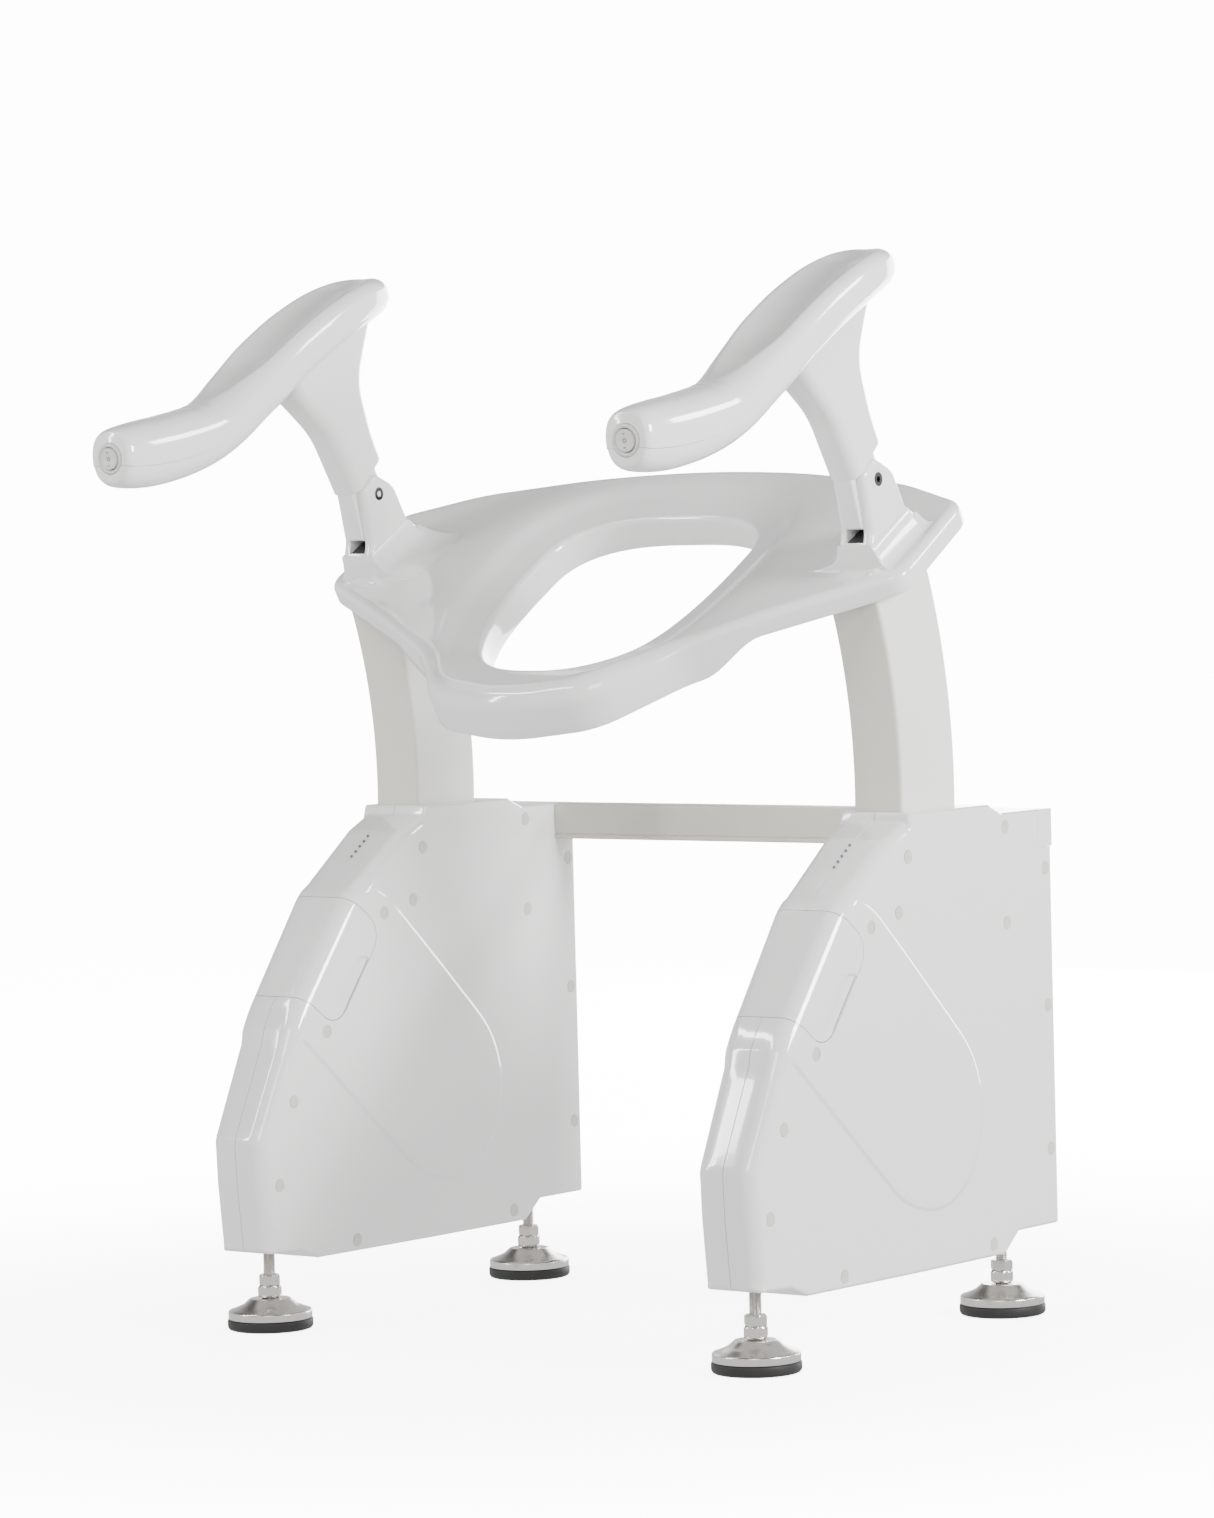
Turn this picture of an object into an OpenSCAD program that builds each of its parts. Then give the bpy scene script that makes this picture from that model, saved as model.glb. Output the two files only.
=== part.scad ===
// Powered raising seat for a toilet: two side housings with curved lifting
// columns, a tilting seat plate, folding armrests and levelling feet.
// X runs across the seat, -Y is the front, Z=0 is the floor.

/* [Side housings] */
// Distance from the middle of the object to the middle of each housing
side_x = 284; // [276:1:300]
// Half thickness of a housing at its back
case_half = 40; // [39:0.5:44]
// Half thickness of a housing at its front
case_half_front = 32; // [31:0.5:36]
// Wall thickness of the housing shells
wall = 3; // [2.5:0.5:4]
// Height of the column platform on top of a housing
platform_z = 487; // [484:1:490]
// Height of the raised panel on the sides of a housing
panel_raise = 1.5; // [0.5:0.5:2]

/* [Lift] */
// Distance in front of the origin of the axis that the columns swing about
arc_y = 480; // [470:1:490]
// Height of the axis that the columns swing about
arc_z = 503; // [495:1:510]
// Radius of the front face of a column
arc_r_front = 490; // [486:1:494]
// Depth of a column from front to back
column_d = 90; // [84:1:92]
// Width of a column
column_w = 54; // [48:1:54]

/* [Seat] */
// Height of the seat's top plane above the origin, with the seat raised
seat_z = 720; // [712:1:726]
// Forward tilt of the raised seat in degrees
seat_tilt = 31; // [29:1:32]
// Depth of the skirt around the nose and inside the opening
nose_skirt = 48; // [40:1:52]
// Depth of the skirt around the wings and the back
wing_skirt = 22; // [20:1:24]
// Half width of the seat opening
hole_half = 119; // [105:1:120]

/* [Arms] */
// Distance from the middle of the object to the middle of each arm post
arm_x = 293; // [291:0.5:294]
// Width of the tongue that turns in the hinge block
tongue_w = 18.8; // [16:0.1:19]
// Width of the hinge block
block_w = 37; // [35:1:38]
// Diameter of the arm pivot bolt
pivot_d = 8; // [6:1:10]

/* [Feet] */
// Distance of the feet in front of and behind the origin
foot_y = 201; // [196:1:205]
// Diameter of the foot pads
pad_d = 80; // [70:1:84]
// Diameter of the foot stems
stem_d = 12; // [10:1:14]

/* [Hidden] */
$fn = 64;
eps = 0.01;

// Colours
white = [0.93, 0.93, 0.92];
warm_white = [0.86, 0.85, 0.81];
steel = [0.72, 0.72, 0.7];
black = [0.06, 0.06, 0.06];
dark_grey = [0.25, 0.26, 0.27];
brass = [0.72, 0.58, 0.3];

// Corner points of a housing seen from its side, [y, z, corner radius]
case_corners = [
    [242, 84, 3], [242, 478, 4], [158, 478, 4], [137, platform_z, 4], [6, platform_z, 3],
    [3.5, 478.5, 1], [-30, 463, 50], [-104, 410, 90], [-190, 298, 160], [-246, 184, 22],
    [-244, 140, 120], [-237, 76, 7], [-190, 74, 3], [-166, 65, 6], [149, 65, 4], [173, 84, 5]];

// Raised panel on the side of a housing, from the battery back to its rounded tip
panel_corners = [
    [-66, 414, 6], [100, 262, 60], [120, 205, 60], [92, 138, 45], [40, 114, 40],
    [-20, 128, 40], [-196, 284, 6], [-300, 284, 1], [-300, 470, 1], [-125, 414, 1]];

// Battery cover: its own frame starts at the bottom front corner, s runs up the
// front face and d runs square into the housing
bay_y = -178;
bay_z = 313;
bay_angle = 52.8;
bay_s = 114;
bay_d = 54;
bay_r = 24;
bay_gap = 0.3;
pack_s = 99;
pack_d = 90;
pack_w = 54;

// Lift
arc_r_back = arc_r_front + column_d;
column_low = -16;
column_high = 26;
gear_module = 3;
rack_r = arc_r_back - 6;
rack_w = 18;
rack_low = -12;
rack_high = 15.5;
pinion_teeth = 16;
pinion_r = gear_module * pinion_teeth / 2;
pinion_angle = -9;
pinion_w = 16;
pinion_y = (rack_r + pinion_r) * cos(pinion_angle) - arc_y;
pinion_z = arc_z + (rack_r + pinion_r) * sin(pinion_angle);
shaft_d = 10;
plate_in = column_w / 2 + 3;
plate_t = 4;
plate_mid = plate_in + plate_t / 2;
rack_pitch = 360 * gear_module / 2 / rack_r;
rack_count = floor((rack_high - rack_low) / rack_pitch);

// Seat
skin = 5;
hole_front = 198;
hole_back = 72;
hole_u = 34;
dish = 14.5;
crest = 46;
seat_half = [
    [0, -235, 160], [92, -214, 70], [152, -137, 90], [338, -26, 24], [334, 100, 26], [250, 138, 200]];
seat_corners = concat(
    seat_half,
    [[0, 187, 800]],
    [for (i = [5:-1:1]) [-seat_half[i][0], seat_half[i][1], seat_half[i][2]]]);

// Arm hinge, in the seat's own frame
pivot_u = 22;
pivot_n = 70;
shoulder_d = 21.2;
shoulder_tilt = 14.4;
plinth_h = 14;
block_corners = [
    [-22, plinth_h, 0.5], [47, plinth_h, 0.5], [46.5, 30, 8], [46.5, 66, 22], [27, 91, 12],
    [3, 86, 10], [-13, 34, 14], [-22, 24, 3]];
block_floor = 27;
head_d = 13;
bush_d = 12;
run_gap = 0.03;

// Arm rest centre line from grip to tail: [y, z, half width, half depth]
arm_line = [
    [-379, 828, 21, 22], [-366, 829, 26, 28], [-330, 833, 29.5, 31.5], [-286, 841, 30.5, 31],
    [-240, 855, 32, 28], [-196, 882, 36, 26], [-150, 914, 39.5, 25], [-104, 942, 40.5, 24.5],
    [-60, 964, 39, 23.5], [-24, 978, 34, 21.5], [0, 984, 26, 18], [13, 986, 15, 12],
    [18, 987, 6, 5]];
switch_tilt = 7;
switch_y = -379;
switch_z = 828;
rocker_d = 20;
rock_depth = 1.5;
rock_pin_d = 2.4;

rest_x = arm_x + 4;
slot_w = 19;
part_level = 0.3;
bezel_d = 29;
bezel_t = 5;
bush_out = 14;
tongue_corners = [
    [-14.5, 36, 5], [32, 36, 8], [40, 62, 12], [41, 97, 2], [-4.6, 97, 1], [-5, 84, 20]];
groove_r = arc_r_back - 24;
bracket_n = 9;
neck_u = -100;
pack_start = 8;

// Feet
rubber_h = 10;
cone_z = 29;
stem_top = 124;
ball_z = 22;
beam_z = 98;

// Crossbar: a steel tube between the housings and a cover over the part in view
bar_y = 209;
bar_z = 442.5;
bar_d = 28;
bar_h = 35.5;
tube_y = 214;
tube_z = 449;
tube_d = 19;
tube_h = 23;
tube_wall = 2.5;
tube_end = side_x + case_half - 7;
cover_end = side_x - case_half - 0.15;
end_cover_x = case_half - 5.9;
end_cover_y = 218;
plug_d = 11.9;
lamp_d = 2.6;

// ---------------------------------------------------------------- helpers

// A closed outline with each corner [x, y, r] rounded by an arc
function unit(v) = v / norm(v);
function arc_points(c, a, b, steps) =
    [for (i = [0:steps]) let(v = unit((a - c) * (1 - i / steps) + (b - c) * i / steps)) c + v * norm(a - c)];
function corner_arc(p, c, n) = let(
    here = [c[0], c[1]],
    u = unit([p[0], p[1]] - here),
    v = unit([n[0], n[1]] - here),
    half = acos(max(-1, min(1, u * v))) / 2,
    reach = c[2] / tan(half),
    mid = here + unit(u + v) * c[2] / sin(half))
    arc_points(mid, here + u * reach, here + v * reach, c[2] < 10 ? 4 : 8);
function rounded(pts) = let(k = len(pts))
    [for (i = [0:k - 1]) each corner_arc(pts[(i + k - 1) % k], pts[i], pts[(i + 1) % k])];

// Anticlockwise corners [x, y, r] moved inwards by d, keeping the arcs concentric
function inner_corner(p, c, n, d) = let(
    here = [c[0], c[1]],
    a = unit(here - [p[0], p[1]]),
    b = unit([n[0], n[1]] - here),
    side = [-a[1], a[0]],
    mid = unit(side + [-b[1], b[0]]),
    turn = a[0] * b[1] - a[1] * b[0],
    at = here + mid * d / (mid * side))
    [at[0], at[1], max(0.6, c[2] - sign(turn) * d)];
function moved_in(pts, d) = let(k = len(pts))
    [for (i = [0:k - 1]) inner_corner(pts[(i + k - 1) % k], pts[i], pts[(i + 1) % k], d)];

// Turns a side view drawn in y and z into a slab from x = a to x = b
module side_slab(a, b) {
    translate([a, 0, 0])
        rotate([90, 0, 90])
            linear_extrude(b - a) children();
}

// A ring segment about the lift axis, from radius ra to rb and angle a to b
module lift_arc(ra, rb, a, b, w) {
    translate([0, -arc_y, arc_z])
        rotate([0, 90, 0])
            rotate([0, 0, 90 + a])
                rotate_extrude(angle = b - a, $fn = 180)
                    translate([ra, -w / 2]) square([rb - ra, w]);
}

// Places children in the seat's own frame: u backwards, n square to the seat
module on_seat() {
    translate([0, 0, seat_z])
        rotate([seat_tilt, 0, 0]) children();
}

// Places children at the left side; the right side is its mirror image
module left(x = side_x) {
    translate([x, 0, 0]) children();
}
module right(x = side_x) {
    mirror([1, 0, 0]) left(x) children();
}
module both(x = side_x) {
    left(x) children();
    right(x) children();
}

// ---------------------------------------------------------------- housings

// Half thickness of a housing at a given y
function case_half_at(y, grow) = grow +
    (y > 0 ? case_half : case_half - (case_half - case_half_front) * y / -246);

module case_plan(grow) {
    polygon([
        [-case_half_at(0, grow), 300], [-case_half_at(0, grow), 0], [-case_half_at(-246, grow), -246],
        [-case_half_at(-260, grow), -260], [case_half_at(-260, grow), -260],
        [case_half_at(-246, grow), -246], [case_half_at(0, grow), 0], [case_half_at(0, grow), 300]]);
}

module case_block(grow = 0) {
    intersection() {
        side_slab(-60, 60) polygon(rounded(moved_in(case_corners, -grow)));
        linear_extrude(600) case_plan(grow);
    }
}

module case_solid() {
    case_block();
    intersection() {
        case_block(panel_raise);
        side_slab(-60, 60) polygon(rounded(panel_corners));
    }
}

// Region that the battery cover takes out of a housing
module bay_region(gap = 0) {
    translate([0, bay_y, bay_z])
        rotate([bay_angle, 0, 0])
            side_slab(-60, 60) bay_outline(gap);
}
module bay_outline(gap) {
    r = bay_r + gap;
    far = bay_d + gap;
    translate([-gap, -far + r]) square([bay_s + 2 * gap, far + 40]);
    translate([r - gap, -far]) square([bay_s + 2 * gap - 2 * r, far]);
    translate([r - gap, -far + r]) circle(r);
    translate([bay_s + gap - r, -far + r]) circle(r);
}

module housing_cuts() {
    // column opening in the platform
    translate([-column_w / 2 - 1, arc_r_front - arc_y - 1.2, 440])
        cube([column_w + 2, column_d + 2, 80]);
    // stems of the feet
    for (y = [-foot_y, foot_y])
        translate([0, y, 50]) cylinder(d = stem_d + 4, h = 60);
    // crossbar tube goes through the inner wall
    translate([-60, tube_y - 0.3, tube_z - 0.3]) cube([60, tube_d + 0.6, tube_h + 0.6]);
    // recess for the crossbar end cover
    translate([end_cover_x - 0.2, end_cover_y - 0.2, bar_z - 0.2]) cube([40, 60, 60]);
    bay_region(bay_gap);
    plug_sites() cylinder(d = plug_d + 0.1, h = 14, center = true);
    lamp_spots() cylinder(d = lamp_d + 0.1, h = 16, center = true, $fn = 24);
}

// Screw plugs seen from the side: [y, z, height of the face there]
plug_spots = [
    [-1, 447, 0], [-17, 397, 0], [-63, 387, 1], [162, 465, 0], [230, 422, 0], [162, 375, 0],
    [230, 292, 0], [230, 156, 0], [-150, 280, 1], [-197, 217, 0], [-220, 140, 0], [-112, 76, 0],
    [128, 77, 0]];

// Puts children on both faces of a housing at every plug, axis along x
module plug_sites() {
    for (p = plug_spots, s = [-1, 1])
        translate([s * (case_half_at(p[0], p[2] * panel_raise) - 1.2), p[0], p[1]])
            rotate([0, 90, 0]) children();
}

module housing_shell() {
    difference() {
        case_solid();
        intersection() {
            side_slab(-60, 60) polygon(rounded(moved_in(case_corners, wall)));
            linear_extrude(600) case_plan(-wall);
        }
        housing_cuts();
    }
}

// The two halves of a housing meet in the middle with a fine seam
module housing_outer() {
    intersection() {
        housing_shell();
        translate([0.05, -400, 0]) cube([80, 800, 600]);
    }
}
module housing_inner() {
    intersection() {
        housing_shell();
        translate([-80.05, -400, 0]) cube([80, 800, 600]);
    }
}

module plugs_one_side() {
    plug_sites() cylinder(d = plug_d, h = 2.4, center = true, $fn = 32);
}

// Five small lamps up the front slope of a housing
module lamp_spots() {
    for (i = [0:4])
        translate([0, -36 - 6.4 * i, 458.5 - 4.6 * i])
            rotate([36, 0, 0]) children();
}
module lights_one_side() {
    lamp_spots() cylinder(d = lamp_d, h = 4, center = true, $fn = 24);
}

// ---------------------------------------------------------------- frame inside a housing

module chassis() {
    difference() {
        union() {
            translate([-22, -225, beam_z - 10]) cube([44, 450, 10]);
            translate([-plate_in - plate_t, -40, beam_z]) cube([2 * (plate_in + plate_t), 240, 6]);
            for (y = [-foot_y, foot_y])
                translate([0, y, beam_z - 10]) cylinder(d = 24, h = 30);
            for (s = [-1, 1])
                side_slab(s * plate_mid - plate_t / 2, s * plate_mid + plate_t / 2)
                    polygon([[-40, beam_z], [200, beam_z], [200, 400], [236, 425], [236, tube_z],
                        [150, tube_z], [150, 468], [0, 468], [-30, 400], [-78, 260], [-78, 200]]);
            translate([-plate_in, tube_y - 6, tube_z - 5]) cube([2 * plate_in, tube_d + 8, 5]);
        }
        for (y = [-foot_y, foot_y])
            translate([0, y, 0]) cylinder(d = stem_d + 0.1, h = 200);
        bolt_spots() cylinder(d = 8.4, h = 30, center = true);
    }
}

module bolt_spots() {
    for (x = [-18, 18])
        translate([x, tube_y + tube_d / 2, tube_z]) children();
}

module crossbar_bolts_side() {
    bolt_spots() {
        translate([0, 0, -4.9]) cylinder(d = 8, h = 4.9 + tube_wall + 6);
        translate([0, 0, -11]) cylinder(d = 13, h = 6, $fn = 6);
    }
}

module crossbar_tube() {
    difference() {
        translate([-tube_end, tube_y, tube_z]) cube([2 * tube_end, tube_d, tube_h]);
        translate([-tube_end - 1, tube_y + tube_wall, tube_z + tube_wall])
            cube([2 * tube_end + 2, tube_d - 2 * tube_wall, tube_h - 2 * tube_wall]);
        both() bolt_spots() cylinder(d = 8.4, h = 10, center = true);
    }
}

module crossbar_cover() {
    difference() {
        side_slab(-cover_end, cover_end)
            polygon(rounded([[bar_y, bar_z, 1.5], [bar_y + bar_d, bar_z, 1.5],
                [bar_y + bar_d, bar_z + bar_h, 1.5], [bar_y, bar_z + bar_h, 1.5]]));
        translate([-cover_end - 1, tube_y - 0.05, tube_z - 0.05])
            cube([2 * cover_end + 2, tube_d + 0.1, tube_h + 0.1]);
    }
}

module end_cover() {
    translate([end_cover_x + 0.05, end_cover_y, bar_z]) cube([case_half - end_cover_x - 0.05, 24, 35.5]);
}

module guides() {
    for (a = [[-4.5, -7.5], [-13, -15.8]])
        lift_arc(arc_r_front - 8, arc_r_front - 0.05, a[1], a[0], 2 * plate_in - 0.02);
    lift_arc(arc_r_back + 0.05, arc_r_back + 8, -5.2, -2.8, 2 * plate_in - 0.02);
    lift_arc(arc_r_back + 0.05, arc_r_back + 8, -15.8, -13, 2 * plate_in - 0.02);
    for (s = [-1, 1])
        translate([s * (column_w / 2 + 1.5), 0, 0])
            lift_arc(arc_r_front + 5, arc_r_back - 5, -15.8, -4.5, 2.9);
}

module control_box_side() {
    translate([-26, 66, beam_z + 6]) cube([52, 116, 78]);
}

// Battery contacts at the far end of the bay
module dock() {
    translate([0, bay_y, bay_z])
        rotate([bay_angle, 0, 0])
            translate([-plate_in + 0.02, pack_s - 24, -pack_d - 14])
                cube([2 * plate_in - 0.04, 20, 5]);
}

module gearmotor() {
    difference() {
        union() {
            for (s = [-1, 1])
                translate([s * (pinion_w / 2 + 3.2), 0, 0]) {
                    translate([0, pinion_y, pinion_z]) rotate([0, 90, 0])
                        cylinder(r = 11, h = 6, center = true);
                    translate([-3, pinion_y, pinion_z - 11]) cube([6, 32, 22]);
                }
            translate([-27, pinion_y + 29, pinion_z - 42]) cube([54, 56, 74]);
            translate([0, pinion_y + 57, 258]) cylinder(d = 50, h = pinion_z - 42 - 258 + 0.5);
            translate([0, pinion_y + 57, 252]) cylinder(d = 24, h = 7);
        }
        translate([0, pinion_y, pinion_z]) rotate([0, 90, 0])
            cylinder(d = bush_out, h = 80, center = true);
    }
}

module pinion_bush_pair() {
    for (s = [-1, 1])
        translate([s * (pinion_w / 2 + 3.2), pinion_y, pinion_z])
            rotate([0, 90, 0])
                difference() {
                    cylinder(d = bush_out, h = 6, center = true);
                    cylinder(d = shaft_d + 2 * run_gap, h = 8, center = true);
                }
}

// Straight-sided gear tooth points at radius r0 (root) and r1 (tip)
function tooth(a, r0, r1, w0, w1) = [
    for (q = [[r0, -w0], [r1, -w1], [r1, w1], [r0, w0]])
        q[0] * [cos(a + q[1] / q[0] * 180 / PI), sin(a + q[1] / q[0] * 180 / PI)]];

module drive_pinion() {
    translate([-pinion_w / 2, pinion_y, pinion_z])
        rotate([90, 0, 90])
            linear_extrude(pinion_w)
                polygon([for (i = [0:pinion_teeth - 1])
                    each tooth(180 + pinion_angle + i * 360 / pinion_teeth,
                        pinion_r - 3.5, pinion_r + 2.6, 2.9, 0.9)]);
    translate([0, pinion_y, pinion_z]) rotate([0, 90, 0])
        cylinder(d = shaft_d, h = pinion_w + 14, center = true);
}

// ---------------------------------------------------------------- columns

module column() {
    difference() {
        lift_arc(arc_r_front, arc_r_back, column_low, column_high, column_w);
        lift_arc(arc_r_front + 3, groove_r - 4, column_low - 1, column_high + 1, column_w - 6);
        lift_arc(groove_r, arc_r_back + 1, column_low - 1, column_high + 1, rack_w + 0.1);
        // seat bracket sits on the slanted top
        on_seat() translate([-100, -200, -bracket_n]) cube([200, 400, 200]);
    }
}

module rack() {
    first = pinion_angle + (floor((rack_low - pinion_angle) / rack_pitch) + 1.5) * rack_pitch;
    last = first + (rack_count - 2) * rack_pitch;
    translate([-rack_w / 2, -arc_y, arc_z])
        rotate([90, 0, 90])
            linear_extrude(rack_w)
                polygon(concat(
                    [for (i = [0:rack_count - 2])
                        each tooth(first + i * rack_pitch, rack_r - 3.5, rack_r + 2.6, 2.9, 0.9)],
                    [for (i = [0:24]) let(a = last + rack_pitch / 2 - i * (last - first + rack_pitch) / 24)
                        (groove_r + 0.05) * [cos(a), sin(a)] / cos(0.6)]));
}

// ---------------------------------------------------------------- battery

module battery_cover() {
    difference() {
        intersection() {
            case_solid();
            bay_region();
        }
        intersection() {
            side_slab(-60, 60) polygon(rounded(moved_in(case_corners, 2.5)));
            linear_extrude(600) case_plan(-2.5);
        }
    }
    // ribs that carry the battery
    intersection() {
        in_bay() for (s = [28, 80])
            translate([-25, s, -pack_start]) cube([50, 4, pack_start]);
        case_block(-0.5);
    }
}

module in_bay() {
    translate([0, bay_y, bay_z])
        rotate([bay_angle, 0, 0]) children();
}

module battery_pack() {
    in_bay() translate([-pack_w / 2, 8, -pack_start - pack_d])
        cube([pack_w, pack_s, pack_d]);
}

// ---------------------------------------------------------------- seat

function egg(grow) = [for (a = [0:5:355]) let(
    c = cos(a),
    s = sin(a),
    fore = (s < 0 ? hole_front : hole_back) + grow,
    x = (hole_half + grow) * sign(c) * pow(abs(c), 0.77),
    y = fore * sign(s) * pow(abs(s), 0.77))
    [x, hole_u + y]];

module seat_slab(d, low, high) {
    translate([0, 0, low])
        linear_extrude(high - low)
            polygon(rounded(moved_in(seat_corners, d)));
}

module plinth_plan(d) {
    w = 26 - d;
    translate([0, 0, -eps])
        linear_extrude(plinth_h + eps)
            polygon(rounded([[arm_x - w, -30 + d, 8], [arm_x + w, -30 + d, 8],
                [arm_x + w, 60 - d, 8], [arm_x - w, 60 - d, 8]]));
}

module seat() {
    on_seat()
        difference() {
            union() {
                difference() {
                    seat_slab(0, -nose_skirt, 0);
                    // shallow skirt around the wings and back
                    translate([-400, neck_u, -100]) cube([800, 400, 100 - wing_skirt]);
                    seat_slab(4, -60, -skin);
                }
                // rim wall and dished ring around the opening
                intersection() {
                    union() {
                        translate([0, 0, -dish - skin]) linear_extrude(dish + skin) polygon(egg(crest + 3));
                        translate([0, 0, -nose_skirt]) linear_extrude(nose_skirt) polygon(egg(4));
                    }
                    seat_slab(0, -nose_skirt, 0);
                }
                plinth_plan(0);
                mirror([1, 0, 0]) plinth_plan(0);
            }
            hull() {
                translate([0, 0, -dish]) linear_extrude(eps) polygon(egg(0));
                translate([0, 0, eps]) linear_extrude(eps) polygon(egg(crest));
            }
            translate([0, 0, -80]) linear_extrude(100) polygon(egg(0));
            both(0) {
                bracket_bolt_spots() translate([0, 0, -20]) cylinder(d = 5.1, h = 18.6);
                // the top of the column passes behind the front skirt
                translate([side_x - column_w / 2 - 0.1, -41, -60]) cube([column_w + 0.2, 20, 60 - bracket_n]);
            }
        }
}

// Steel plates that join the columns to the underside of the seat
module seat_bracket() {
    on_seat() difference() {
        translate([side_x - 58, -30, -bracket_n]) cube([88, 122, bracket_n - skin - 0.02]);
        bracket_bolt_spots() translate([0, 0, -20]) cylinder(d = 5.4, h = 40);
    }
}

module bracket_bolt_spots() {
    for (p = [[-43, -16], [-43, 50], [-16, 79], [16, 79]])
        translate([side_x + p[0], p[1], 0]) children();
}

module bracket_bolts() {
    on_seat() bracket_bolt_spots() {
        translate([0, 0, -bracket_n - 0.02]) cylinder(d = 5, h = bracket_n - 1.5);
        translate([0, 0, -bracket_n - 5]) cylinder(d = 10, h = 5, $fn = 32);
    }
}

// ---------------------------------------------------------------- arms

module at_pivot() {
    on_seat() translate([arm_x, pivot_u, pivot_n])
        rotate([0, 90, 0]) children();
}

module hinge_block() {
    difference() {
        on_seat() union() {
            translate([arm_x, 0, 0])
                side_slab(-block_w / 2, block_w / 2)
                    polygon(rounded(block_corners));
        }
        on_seat() {
            translate([arm_x - slot_w / 2, -40, block_floor]) cube([slot_w, 82, 90]);
            translate([arm_x - slot_w / 2, -40, 46]) cube([slot_w, 120, 90]);
        }
        at_pivot() cylinder(d = pivot_d + 0.1, h = 60, center = true);
        for (s = [-1, 1])
            at_pivot() translate([0, 0, s * block_w / 2]) cylinder(d = head_d + 0.2, h = 9, center = true);
    }
}

module pivot_bolt() {
    difference() {
        at_pivot() union() {
            cylinder(d = pivot_d, h = block_w - 8, center = true);
            for (s = [-1, 1])
                translate([0, 0, s * (block_w / 2 - 2.2)]) cylinder(d = head_d, h = 4.4, center = true);
        }
        for (s = [-1, 1])
            at_pivot() translate([0, 0, s * block_w / 2]) cylinder(d = 6, h = 5, center = true, $fn = 6);
    }
}

module arm_bush() {
    at_pivot() difference() {
        cylinder(d = bush_d, h = tongue_w, center = true);
        cylinder(d = pivot_d + 2 * run_gap, h = 40, center = true);
    }
}

// Cross section of the arm rest at station i, square to its centre line
function arm_section(i) = let(
    k = len(arm_line) - 1,
    p = arm_line[i],
    a = arm_line[max(0, i - 1)],
    b = arm_line[min(k, i + 1)],
    t = unit([b[0] - a[0], b[1] - a[1]]))
    [for (j = [0:23]) let(
        c = cos(j * 15),
        s = sin(j * 15),
        w = p[2] * sign(c) * pow(abs(c), 0.8),
        h = p[3] * sign(s) * pow(abs(s), 0.8))
        [w, p[0] - t[1] * h, p[1] + t[0] * h]];

// Solid skin through cross sections that all have n points
module loft(sections) {
    n = len(sections[0]);
    m = len(sections);
    polyhedron(
        points = [for (s = sections) each s],
        faces = concat(
            [[for (i = [n - 1:-1:0]) i]],
            [for (j = [0:m - 2], i = [0:n - 1]) each [
                [j * n + i, j * n + (i + 1) % n, (j + 1) * n + i],
                [j * n + (i + 1) % n, (j + 1) * n + (i + 1) % n, (j + 1) * n + i]]],
            [[for (i = [0:n - 1]) (m - 1) * n + i]]));
}

module arm_rest() {
    translate([rest_x, 0, 0]) loft([for (i = [0:len(arm_line) - 1]) arm_section(i)]);
}

// Everything below the parting line of the arm rest
module below_parting(drop) {
    side_slab(240, 350)
        polygon(concat(
            [for (p = arm_line) [p[0], p[1] - part_level * p[3] - drop]],
            [[80, 986], [80, 700], [-430, 700], [-430, 820]]));
}

module switch_pocket() {
    at_switch() {
        translate([0, 0, -bezel_t]) cylinder(d = bezel_d + 0.2, h = 40);
        translate([0, 0, -20]) cylinder(d = 23, h = 20);
    }
}

module arm_body() {
    difference() {
        intersection() {
            union() {
                arm_rest();
                on_seat() translate([arm_x, 0, 0])
                    side_slab(-18, 18)
                        polygon(rounded([[48, 62, 4], [48, 120, 200], [60, 175, 60], [116, 222, 5],
                            [-40, 240, 5], [-32, 215, 30], [-6, 150, 90], [-5, 88, 4], [-5, 62, 1]]));
            }
            below_parting(0.1);
        }
        // shoulders stop above the ears of the hinge block
        on_seat() translate([arm_x, pivot_u, pivot_n])
            rotate([shoulder_tilt, 0, 0])
                translate([-40, -60, -60]) cube([80, 120, 60 + shoulder_d]);
        switch_pocket();
    }
    difference() {
        on_seat() translate([arm_x, 0, 0])
            side_slab(-tongue_w / 2, tongue_w / 2)
                polygon(rounded(tongue_corners));
        at_pivot() cylinder(d = bush_d + 0.02, h = 60, center = true);
    }
}

module arm_top() {
    difference() {
        arm_rest();
        below_parting(0);
        switch_pocket();
    }
}

module at_switch() {
    translate([rest_x, switch_y, switch_z])
        rotate([90 + switch_tilt, 0, 0]) children();
}

module switch_bezel() {
    at_switch() difference() {
        translate([0, 0, -bezel_t]) cylinder(d = bezel_d, h = bezel_t + 1.5);
        cylinder(d = rocker_d + 1, h = 20, center = true);
        rock_axis() cylinder(d = rock_pin_d + 0.1, h = 26, center = true, $fn = 32);
    }
}

module switch_rocker() {
    at_switch() {
        intersection() {
            cylinder(d = rocker_d, h = 20, center = true);
            rotate([90, 0, 90])
                translate([0, 0, -15]) linear_extrude(30)
                    polygon([[-12, 3.7], [0, 1.9], [12, 3.7], [12, -1.5], [4, -5], [-4, -5], [-12, -1.5]]);
        }
        rock_axis() cylinder(d = rock_pin_d, h = 25, center = true, $fn = 32);
    }
}

// Pivot pin of the rocker
module rock_axis() {
    translate([0, 0, -rock_depth]) rotate([0, 90, 0]) children();
}

// ---------------------------------------------------------------- feet

module at_foot(y) {
    translate([side_x, y, 0]) children();
}

module foot_stem() {
    translate([0, 0, ball_z]) sphere(r = 8);
    translate([0, 0, ball_z + 4]) cylinder(d = stem_d, h = stem_top - ball_z - 4);
    translate([0, 0, 30.5]) cylinder(d = 24, h = 10.5, $fn = 6);
}

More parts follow.
